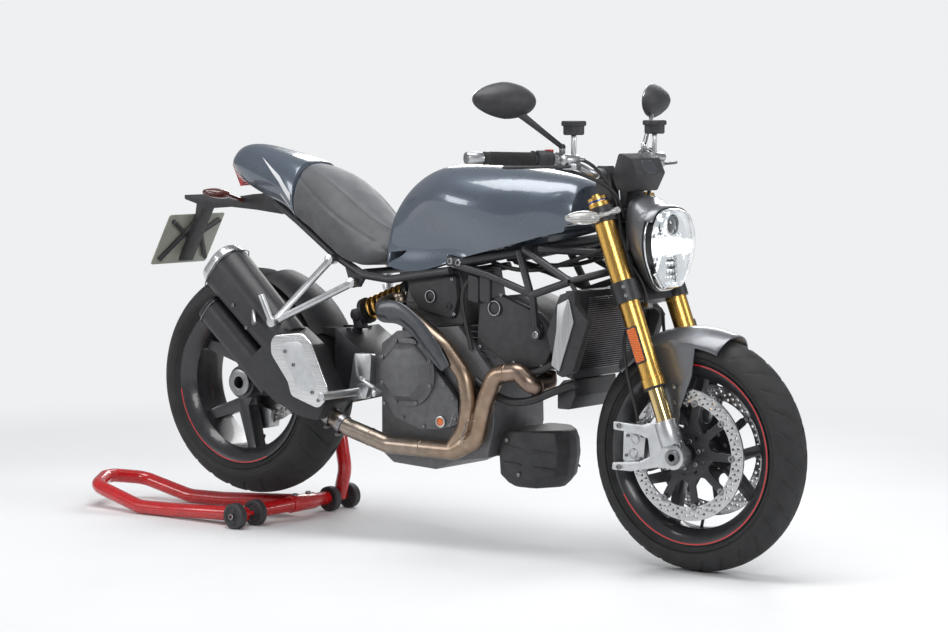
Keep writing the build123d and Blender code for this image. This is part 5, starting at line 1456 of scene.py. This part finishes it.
def chain_links():
    """Inner and outer plates and rollers along the chain's line over both sprockets."""
    low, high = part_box("drive_chain")
    y = (low.y + high.y) / 2
    big, small = 0.1045, 0.0365
    rear = Vector((rear_axle.x, y, rear_axle.z))
    small_z = 0.447
    front = Vector((high.x - small - 0.0085, y, small_z))
    run = front - rear
    span = run.length
    lean = math.atan2(run.z, run.x)
    open_angle = math.acos((big - small) / span)
    top, bottom = lean + open_angle, lean - open_angle

    line = [rear + spoke(big, top), front + spoke(small, top)]
    arc = top
    while arc > bottom:
        arc -= 0.1
        line.append(front + spoke(small, max(arc, bottom)))
    line.append(rear + spoke(big, bottom))
    arc = bottom
    while arc > top - math.tau:
        arc -= 0.04
        line.append(rear + spoke(big, max(arc, top - math.tau)))
    lengths = [0.0]
    for a, b in zip(line, line[1:]):
        lengths.append(lengths[-1] + (b - a).length)
    pitch = 0.015875
    count = 2 * round(lengths[-1] / pitch / 2)
    places = []
    for i in range(count):
        want = lengths[-1] * i / count
        k = max(j for j in range(len(lengths)) if lengths[j] <= want + 1e-9)
        k = min(k, len(line) - 2)
        share = (want - lengths[k]) / max(1e-9, lengths[k + 1] - lengths[k])
        places.append(line[k].lerp(line[k + 1], share))
    points, faces = [], []

    def add_prism(outline, y_low, y_high):
        base = len(points)
        size = len(outline)
        for across in (y_low, y_high):
            points.extend(Vector((p.x, across, p.z)) for p in outline)
        for i in range(size):
            j = (i + 1) % size
            faces.append((base + i, base + j, base + size + j, base + size + i))
        faces.append(tuple(base + i for i in range(size)))
        faces.append(tuple(base + size + i for i in range(size)))

    for i, here in enumerate(places):
        there = places[(i + 1) % count]
        along = (there - here).normalized()
        up = Vector((-along.z, 0, along.x))
        outline = []
        for end, sign in ((here, -1), (there, 1)):
            for step in range(5):
                angle = math.pi / 2 - math.pi * step / 4
                outline.append(end + along * (sign * 0.0066 * math.cos(angle))
                               + up * (sign * 0.0066 * math.sin(angle)))
        gap, thick = 0.0040 if i % 2 else 0.0021, 0.0018
        add_prism(outline, y + gap, y + gap + thick)
        add_prism(outline, y - gap - thick, y - gap)
        add_prism([here + spoke(0.0034, a) for a in turns(8)], y - 0.0059, y + 0.0059)
    kept(new_mesh(points, faces), "drive_chain_links", "root", "chain_steel",
         ["drive_chain"], 30)


chain_links()


# Handlebar, grips, switches, levers, fluid pots and mirrors
bar_bend_x_mm = 578
bar_bend_across_mm = 172
bar_height_mm = 1031
bar_sweep = 0.553


def bar_point(across):
    """A place on the straight outer part of the bar, millimetres from the middle."""
    beyond = abs(across) - bar_bend_across_mm
    return at(bar_bend_x_mm - beyond * bar_sweep, across, bar_height_mm + 6 * beyond / 228)


def bar_run(hand):
    """The outer part's direction, away from the middle."""
    return (bar_point(hand * 300) - bar_point(hand * 200)).normalized()


def handlebar():
    tube = copy_of_node("handlebar")
    kept(rounded_part(tube, 0.0014, 40), "handlebar_tube", "steering", "bar_silver",
         ["handlebar"], 50)
    rings = []
    for hand in (1, -1):
        end = bar_point(hand * 413)
        rings.append(turned([(-0.0005, 0.0145), (0.0012, 0.0138), (0.0012, 0.006), (-0.004, 0.0055),
                             (-0.004, 0.0001)],
                            end, bar_run(hand), 28))
    kept(joined(rings), "bar_end_caps", "steering", "steel_dark", (), 40)


def grips():
    parts = []
    for hand in (1, -1):
        start, end = bar_point(hand * 253), bar_point(hand * 373)
        run = end - start
        profile = [(0.0, 0.0113), (0.0, 0.0205), (0.004, 0.0208), (0.0055, 0.0175)]
        ribs, first, step = 24, 0.010, 0.0046
        for i in range(ribs):
            a = first + i * step
            profile += [(a, 0.0158), (a + 0.0008, 0.0170), (a + 0.0030, 0.0170), (a + 0.0038, 0.0158)]
        length = run.length
        profile = [p for p in profile if p[0] < length - 0.003] + [(length - 0.003, 0.0168),
                                                                   (length, 0.0160), (length, 0.0113)]
        parts.append(turned(profile, start, run, 28))
    kept(joined(parts), "grips_ribbed", "steering", "grip_rubber", ["grips"], 35)


def lever(hand):
    """A bent blade lever with a ball end, its pivot block and adjuster."""
    clamp = bar_point(hand * 192)
    z = clamp.z - 0.017
    centres = [(0.034, 186), (0.047, 206), (0.037, 250), (0.022, 292), (0.004, 338), (-0.020, 372),
               (-0.030, 390)]
    widths = [0.008, 0.0085, 0.0065, 0.006, 0.0055, 0.0055, 0.0075]
    loops = []
    for (ahead, across), wide in zip(centres, widths):
        centre = Vector((clamp.x + ahead, hand * across * mm, z))
        loops.append([centre + Vector((wide * math.cos(a), 0.25 * hand * wide * math.cos(a),
                                       0.0045 * math.sin(a)))
                      for a in turns(10)])
    blade = loft(loops)
    modified(blade, "SUBSURF", levels=1, render_levels=1)
    block = plate(rounded([(-0.014, -0.016), (0.018, -0.020), (0.022, 0.012), (0.004, 0.022),
                           (-0.014, 0.014)], 0.005), 0.016,
                  Matrix.Translation((clamp.x + 0.034, hand * 0.190, z)) @ Matrix.Scale(hand, 4, (0, 1, 0)),
                  edge=0.002)
    cleaned(block)
    pin = turned([(-0.010, 0.0055), (0.0095, 0.0055), (0.0105, 0.0045), (0.0105, 0.0001)],
                 Vector((clamp.x + 0.036, hand * 0.192, z)),
                 (0, 0, 1), 16)
    painted(blade, "black_metal")
    painted(block, "bar_silver")
    painted(pin, "steel_dark")
    return [blade, block, pin]


def controls():
    parts = []
    for hand in (1, -1):
        run = bar_run(hand)
        # Two-part switch housing with its buttons
        start = bar_point(hand * 209)
        housing = turned([(0.0, 0.0115), (0.0, 0.0195), (0.003, 0.0220), (0.019, 0.0222), (0.0196, 0.0214),
                          (0.0202, 0.0222),
                          (0.040, 0.0220), (0.043, 0.0195), (0.043, 0.0115)], start, run, 32)
        painted(housing, "dark_plastic")
        parts.append(housing)
        back = Vector((-1, 0, 0.15)).normalized()
        for along, size, paint in ((0.010, 0.0055, "button_red" if hand < 0 else "dark_plastic"),
                                   (0.028, 0.0050, "dark_plastic")):
            knob = turned([(0.0, size), (0.0035, size), (0.0045, size - 0.0012), (0.0045, 0.0001)],
                          start + run * along + back * 0.0195, back, 14)
            parts.append(painted(knob, paint))
        if hand < 0:
            rocker = plate(rounded(oblong(0.009, 0.006), 0.003), 0.007,
                           Matrix.Translation(start + run * 0.004 + Vector((-0.004, 0, 0.0215))),
                           edge=0.0015)
            parts.append(painted(rocker, "button_red"))
        # Clamp, cylinder and fluid pot with its ribbed cap
        clamp = bar_point(hand * 192)
        pot_across, pot_bottom, cap_radius = hand * 0.182, 1.0925, 0.0304
        band = turned([(-0.007, 0.0115), (-0.007, 0.0185), (0.007, 0.0185), (0.007, 0.0115)], clamp, run,
                      28)
        parts.append(painted(band, "bar_silver"))
        cylinder_x = clamp.x + 0.038
        body = bar((cylinder_x + 0.002, hand * 0.171, clamp.z), (cylinder_x - 0.002, hand * 0.222, clamp.z),
                   0.0128, 28, 0.0022)
        parts.append(painted(body, "bar_silver"))
        bridge = bar((clamp.x + 0.010, hand * 0.184, clamp.z), (cylinder_x, hand * 0.184, clamp.z), 0.0088,
                     20, 0.001)
        parts.append(painted(bridge, "bar_silver"))
        neck = bar((cylinder_x, pot_across, clamp.z + 0.010), (cylinder_x, pot_across, pot_bottom), 0.0066,
                   16, 0.0006)
        parts.append(painted(neck, "bar_silver"))
        pot = turned([(0.0, 0.010), (0.0, 0.0235), (0.003, 0.0262), (0.0225, 0.0264), (0.0225, 0.0295),
                      (0.024, 0.0306),
                      (0.033, 0.0306), (0.0352, 0.0290), (0.0352, 0.0262), (0.0342, 0.0250),
                      (0.0342, 0.0001)],
                     Vector((cylinder_x, pot_across, pot_bottom)), (0, 0, 1), 40)
        parts.append(painted(pot, "dark_plastic"))
        knurls = []
        for a in turns(24):
            x, y = cylinder_x + cap_radius * math.cos(a), pot_across + cap_radius * math.sin(a)
            knurls.append(bar((x, y, 1.1175), (x, y, 1.1250), 0.0009, 5))
        parts.append(painted(joined(knurls), "dark_plastic"))
        parts += lever(hand)
    kept(joined(parts), "hand_controls_detailed", "steering", None, ["hand_controls"], 35)


def mirrors():
    parts = []
    for hand in (1, -1):
        along = Vector((hand * -0.3, 0.954, 0)).normalized()
        face = Vector((0.954, hand * 0.3, 0)).normalized()
        up = Vector((0, 0, 1))
        base = at(496, hand * 330, 1178)

        def loop(wide, tall, ahead, shift):
            """An oval round the mirror's middle, slimmer and raised towards its outer end."""
            made = []
            for a in turns(40):
                c, s = math.cos(a), math.sin(a)
                tilt = 0.06 * c * hand
                made.append(base + face * ahead + along * (wide * c + shift)
                            + up * (tall * s * (1 - 0.18 * max(0.0, c * hand)) + tilt * tall))
            return made

        back = loft([loop(0.0945, 0.0440, 0.0015, 0), loop(0.0965, 0.0455, 0.006, 0),
                     loop(0.094, 0.0440, 0.012, 0.001 * hand),
                     loop(0.086, 0.0385, 0.022, 0.002 * hand), loop(0.068, 0.029, 0.033, 0.004 * hand),
                     loop(0.042, 0.018, 0.0405, 0.006 * hand), loop(0.016, 0.007, 0.0435, 0.006 * hand)])
        parts.append(painted(back, "dark_plastic"))
        pane = loft([loop(0.0915, 0.0412, 0.0014, 0), loop(0.0905, 0.0405, 0.0002, 0)], cap_start=False)
        parts.append(painted(pane, "mirror_glass"))
        clamp = bar_point(hand * 184)
        low = Vector((clamp.x, hand * 0.184, clamp.z + 0.014))
        elbow = Vector((clamp.x, hand * 0.184, clamp.z + 0.031))
        top = at(520, hand * 302, 1150)
        stem_paint = "black_metal" if hand < 0 else "bar_silver"
        loops = []
        run = (top - elbow).normalized()
        flat = run.cross(face).normalized()
        for t, wide, deep in ((0.0, 0.0062, 0.0062), (0.12, 0.0066, 0.0060), (0.5, 0.0080, 0.0050),
                              (0.85, 0.0098, 0.0046), (1.0, 0.0110, 0.0044)):
            centre = elbow.lerp(top, t)
            loops.append([centre + flat * (wide * math.cos(a)) + face * (deep * math.sin(a))
                          for a in turns(16)])
        parts.append(painted(loft(loops), stem_paint))
        parts.append(painted(bar(low, elbow, 0.0078, 20, 0.0012), "steel_dark"))
        ball = primitive("uv_sphere", segments=20, ring_count=12, radius=0.0088, location=elbow)
        modified(ball, "BEVEL", width=0.0002)
        parts.append(painted(placed(ball), "chrome" if hand > 0 else "black_metal"))
        edge = [p + face * 0.0003 for p in loop(0.0962, 0.0452, 0.0045, 0)]
        strip = pipe([tuple(p) for p in edge[1:19]], 0.0011, 8, resolution=3)
        parts.append(painted(strip, "bar_silver"))
    kept(joined(parts), "mirrors_detailed", "steering", None, ["mirrors"], 40)


def instrument():
    case = rounded_part(copy_of_node("instrument_display"), 0.006, 24)
    painted(case, "dark_plastic")
    parts = [case]
    screen = plate(rounded(oblong(0.050, 0.021), 0.006), 0.002,
                   Matrix.Translation((0.6487, 0, 1.0165)) @ Matrix.Rotation(math.radians(-72.5), 4, "Y") @
                   Matrix.Rotation(math.radians(90), 4, "Z"), edge=0.0006)
    parts.append(painted(screen, "screen_dark"))
    brow = plate(rounded([(-0.030, -0.013), (-0.018, -0.020), (0.018, -0.020), (0.030, -0.013),
                          (0.024, 0.012), (-0.024, 0.012)], 0.005),
                 0.004, Matrix.Translation((0.7065, 0, 1.016)) @ Matrix.Rotation(math.radians(64), 4, "Y") @
                 Matrix.Rotation(math.radians(90), 4, "Z"), edge=0.0015)
    parts.append(painted(brow, "guard_grey"))
    kept(joined(parts), "instrument_case", "steering", None, ["instrument_display"], 35)


handlebar()
grips()
controls()
mirrors()
instrument()


# Fork: cap rings, tube stops, reflectors, clamp bolts, axle nut and caliper details
def fork_details():
    parts = []
    for side in (-1, 1):
        y = side * leg_across_mm
        top = fork_point(leg_top_mm, 0, y)
        cap = turned([(0.0, 0.0265), (0.006, 0.0262), (0.0075, 0.0245), (0.0075, 0.0175), (0.0105, 0.0170),
                      (0.0105, 0.011),
                      (0.016, 0.0105), (0.018, 0.009), (0.018, 0.0045), (0.0145, 0.004), (0.0145, 0.0001)],
                      top, fork_up, 36)
        parts.append(painted(cap, "cap_blue" if side < 0 else "silver_alloy"))
        rim_ring = turned([(-0.004, 0.0270), (0.0003, 0.0276), (0.0018, 0.0268)], top, fork_up, 36)
        parts.append(painted(rim_ring, "fork_gold"))
        seal = turned([(-0.006, 0.0218), (-0.006, 0.0272), (0.0, 0.0296), (0.0, 0.0218)],
                      fork_point(leg_bottom_mm, 0, y), fork_up, 40, closed=True)
        parts.append(painted(seal, "dark_plastic"))
        for up in (206, 398):
            band = turned([(-0.0012, 0.0270), (-0.0006, 0.0277), (0.0006, 0.0277), (0.0012, 0.0270)],
                          fork_point(up, 0, y), fork_up, 40)
            parts.append(painted(band, "fork_gold"))
        # Reflector in a dark holder on the outer face of the leg
        centre = fork_point(292, 2, y + side * 27.5)
        frame_matrix = Matrix.Translation(centre) @ Matrix.Rotation(-rake, 4,
                                                                    "Y") @ Matrix.Rotation(math.radians(90),
                                                                                           4, "X")
        holder = plate(rounded(oblong(0.0145, 0.046), 0.004), 0.006, frame_matrix, edge=0.0015)
        parts.append(painted(holder, "dark_plastic"))
        face = Matrix.Translation((0, side * 0.0034, 0)) @ frame_matrix
        glass = plate(rounded(oblong(0.0118, 0.042), 0.003), 0.003, face, edge=0.001)
        parts.append(painted(glass, "amber_lens"))
        for up, reach in ((417, 33), (440, 33), (632, 32)):
            parts.append(bolt(fork_point(up, 16, y + side * (reach - 5)), (0.55, side, 0.2), 0.0052, 0.005))
        nut = turned([(0.0, 0.0125), (0.0, 0.019), (0.002, 0.020), (0.006, 0.020), (0.008, 0.0185),
                      (0.008, 0.0098), (0.0, 0.0096)],
                     Vector((front_axle.x, side * 0.1218, front_axle.z)), (0, side, 0),
                     6 if side > 0 else 36)
        parts.append(painted(nut, "steel_dark"))
        for x, z in ((700, 366), (700, 262), (880, 330)):
            parts.append(bolt(Vector((x * mm, side * 0.1155, z * mm)), (0, side, 0), 0.0065, 0.006))
        for up, ahead in ((52, 27), (30, 28)):
            parts.append(bolt(fork_point(up, ahead, y), fork_ahead, 0.0048, 0.004))
    kept(joined(parts), "fork_fittings", "steering", None, (), 40)
    details = []
    for side in (-1, 1):
        outer_mm = side * 0.0938 / mm
        for x, z in ((728, 296), (734, 332)):
            piston = turned([(-0.001, 0.0125), (0.003, 0.0125), (0.0045, 0.0112), (0.0045, 0.0085),
                             (0.0025, 0.0075), (0.0025, 0.0001)],
                            at(x, outer_mm, z), (0, side, 0), 28)
            details.append(painted(piston, "silver_alloy"))
        for x, z in ((708, 290), (712, 340), (752, 284), (756, 342)):
            details.append(bolt(at(x, outer_mm - side * 1.0, z), (0, side, 0), 0.0045, 0.005))
        bridge = bar(at(720, side * 40, 351), at(720, side * 92, 351), 0.0035, 12, 0.0005)
        details.append(painted(bridge, "steel_dark"))
    kept(joined(details), "caliper_fittings", "steering", None, (), 40)


fork_details()


# Brake hoses along the routes that they are held on, and the cables from the bar
def brake_hoses():
    main = [(0.611, -0.1696, 1.0315), (0.617, -0.138, 1.029), (0.648, -0.106, 0.985),
            (0.663, -0.080, 0.930),
            (0.663, -0.062, 0.870), (0.670, -0.060, 0.790), (0.724, -0.058, 0.738), (0.748, -0.058, 0.676),
            (0.712, -0.064, 0.640), (0.694, -0.094, 0.590), (0.712, -0.099, 0.490), (0.732, -0.082, 0.400),
            (0.735, -0.080, 0.353)]
    branch = [(0.738, -0.058, 0.664), (0.720, -0.030, 0.658), (0.720, 0.030, 0.658), (0.712, 0.064, 0.640),
              (0.694, 0.094, 0.590), (0.712, 0.099, 0.490), (0.732, 0.082, 0.400), (0.735, 0.080, 0.353)]
    parts = [painted(pipe(line, hose_radius, 14, resolution=8), "hose_rubber") for line in (main, branch)]
    ends = []
    for hand in (-1, 1):
        ends.append(painted(bar((0.735, hand * 0.080, 0.352), (0.7345, hand * 0.0805, 0.376), 0.0058, 14,
                                0.0008), "steel_dark"))
    ends.append(painted(bar((0.611, -0.1700, 1.0315), (0.6145, -0.150, 1.030), 0.0058, 14, 0.0008),
                        "steel_dark"))
    ends.append(painted(plate(rounded(oblong(0.012, 0.008), 0.003), 0.014,
                              Matrix.Translation((0.741, -0.056, 0.668)), edge=0.002), "steel_dark"))
    kept(joined(parts + ends), "brake_hoses_flexible", "steering", None, ["brake_hoses"], 60)
    cables = [pipe([(0.604, 0.165, 1.030), (0.628, 0.130, 1.020), (0.650, 0.100, 0.985),
                    (0.664, 0.066, 0.925),
                    (0.664, 0.048, 0.875)], 0.004, 10),
              pipe([(0.566, -0.205, 1.010), (0.600, -0.170, 1.000), (0.628, -0.140, 0.985),
                    (0.655, -0.105, 0.965),
                    (0.668, -0.075, 0.935), (0.668, -0.050, 0.885)], 0.0048, 12),
              pipe([(0.566, 0.205, 1.010), (0.600, 0.160, 1.000), (0.632, 0.120, 0.975),
                    (0.662, 0.070, 0.935),
                    (0.668, 0.040, 0.890)], 0.0048, 12)]
    kept(painted(joined(cables), "hose_rubber"), "bar_cables", "steering", None, (), 60)


brake_hoses()


# Bolts of the front mudguard and screws of the plate
def small_screws():
    made = []
    for side in (-1, 1):
        made += bolts_at([(838, side * 79, 470), (838, side * 78, 430)], (0, side, 0), 0.006, 0.003)
    kept(joined(made), "mudguard_bolts", "steering", "steel_dark")
    normal = Vector((-0.874, 0, 0.485))
    centre = at(-887.2, 0, 781) + normal * 0.0024
    up = Vector((0.485, 0, 0.874))
    kept(joined([bolt(centre + up * (dz * mm) + Vector((0, dy * mm, 0)), normal, 0.0052, 0.003)
                 for dy, dz in ((-60, 64), (60, 64), (-60, -64), (60, -64))]),
         "plate_screws", "root", "steel_dark")


small_screws()


# Casters of the paddock stand, with treads, hubs and bolts
def casters():
    for node, sides in (("stand_wheels_right", (-232, -150)), ("stand_wheels_left", (170, 255))):
        low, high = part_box(node)
        x, z = (low.x + high.x) / 2, (low.z + high.z) / 2
        made = []
        for y in sides:
            centre = Vector((x, y * mm, z))
            wheel = turned([(-0.012, 0.0066), (-0.012, 0.012), (-0.0095, 0.013), (-0.0095, 0.024),
                            (-0.012, 0.0255),
                            (-0.012, 0.033), (-0.0095, 0.0357), (-0.004, 0.036), (0.004, 0.036),
                            (0.0095, 0.0357),
                            (0.012, 0.033), (0.012, 0.0255), (0.0095, 0.024), (0.0095, 0.013),
                            (0.012, 0.012), (0.012, 0.0066)],
                           centre, wheel_axis, 48, closed=True)
            made.append(painted(wheel, "caster_dark"))
            ribs = []
            for across in (-0.0098, 0.0098):
                for a in turns(5):
                    ribs.append(bar(centre + spoke(0.012, a, across), centre + spoke(0.0245, a, across),
                                    0.0018, 8))
            made.append(painted(joined(ribs), "caster_dark"))
        kept(joined(made), f"{node}_treaded", node, None, [node], 40)
    low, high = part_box("stand_wheels_right")
    x, z = (low.x + high.x) / 2, (low.z + high.z) / 2
    nuts = [turned([(0.0, 0.0055), (0.0, 0.0095), (0.006, 0.0095), (0.007, 0.0085), (0.007, 0.0055)],
                   Vector((x, y * mm, z)), (0, d, 0), 6)
            for y, d in ((-245.5, -1), (269, 1))]
    nuts += [bolt(at(-497, y, 63.5), (0, 0, 1), 0.008, 0.006) for y in (18, 74)]
    kept(joined(nuts), "stand_bolts", "root", "steel_dark")


casters()


# Finish of every CAD node that stays
replaced = {name for piece in bpy.context.scene.objects for name in piece.get("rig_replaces", [])}
node_slots = {entry["node"]: entry["material_slot"] for entry in frame["record"]["subparts"]}
for name, node in nodes.items():
    if name not in replaced:
        painted(node, node_slots[name])


# Floor, backdrop and studio light
def studio():
    floor = primitive("plane", size=60.0, location=(0, 0, 0))
    floor.name = "floor"
    floor.data.materials.append(floor_paint("floor_paint", (0.78, 0.785, 0.79)))
    world = bpy.data.worlds.new("studio")
    bpy.context.scene.world = world
    world.use_nodes = True
    tree = world.node_tree
    paths = tree.nodes.new("ShaderNodeLightPath")
    seen = tree.nodes.new("ShaderNodeMath")
    seen.operation = "MAXIMUM"
    tree.links.new(paths.outputs["Is Camera Ray"], seen.inputs[0])
    tree.links.new(paths.outputs["Is Transmission Ray"], seen.inputs[1])
    soft = tree.nodes["Background"]
    soft.inputs["Color"].default_value = (0.92, 0.95, 1.0, 1.0)
    soft.inputs["Strength"].default_value = 0.30
    white = tree.nodes.new("ShaderNodeBackground")
    white.inputs["Color"].default_value = backdrop_white
    white.inputs["Strength"].default_value = 1.0
    blend = tree.nodes.new("ShaderNodeMixShader")
    tree.links.new(seen.outputs[0], blend.inputs[0])
    tree.links.new(soft.outputs[0], blend.inputs[1])
    tree.links.new(white.outputs[0], blend.inputs[2])
    tree.links.new(blend.outputs[0], tree.nodes["World Output"].inputs["Surface"])


def soft_box(name, place, aim, size, power):
    data = bpy.data.lights.new(name, "AREA")
    data.shape = "RECTANGLE"
    data.size, data.size_y = size
    data.energy = power
    lamp = bpy.data.objects.new(name, data)
    bpy.context.scene.collection.objects.link(lamp)
    lamp.location = place
    lamp.rotation_mode = "QUATERNION"
    lamp.rotation_quaternion = (Vector(aim) - Vector(place)).to_track_quat("-Z", "Y")


studio()
soft_box("top_light", (0.3, -0.4, 3.6), (0, 0, 0.4), (3.4, 1.6), 120)
soft_box("key_light", (3.6, -3.2, 2.6), (0.1, 0, 0.6), (1.8, 1.6), 70)
soft_box("side_light", (-2.8, -3.4, 1.9), (-0.2, 0, 0.6), (1.6, 1.4), 45)
soft_box("back_light", (-1.5, 3.4, 2.4), (0, 0, 0.7), (2.6, 1.2), 60)
soft_box("nose_light", (4.2, 1.6, 1.8), (0.5, 0, 0.7), (1.2, 1.4), 35)
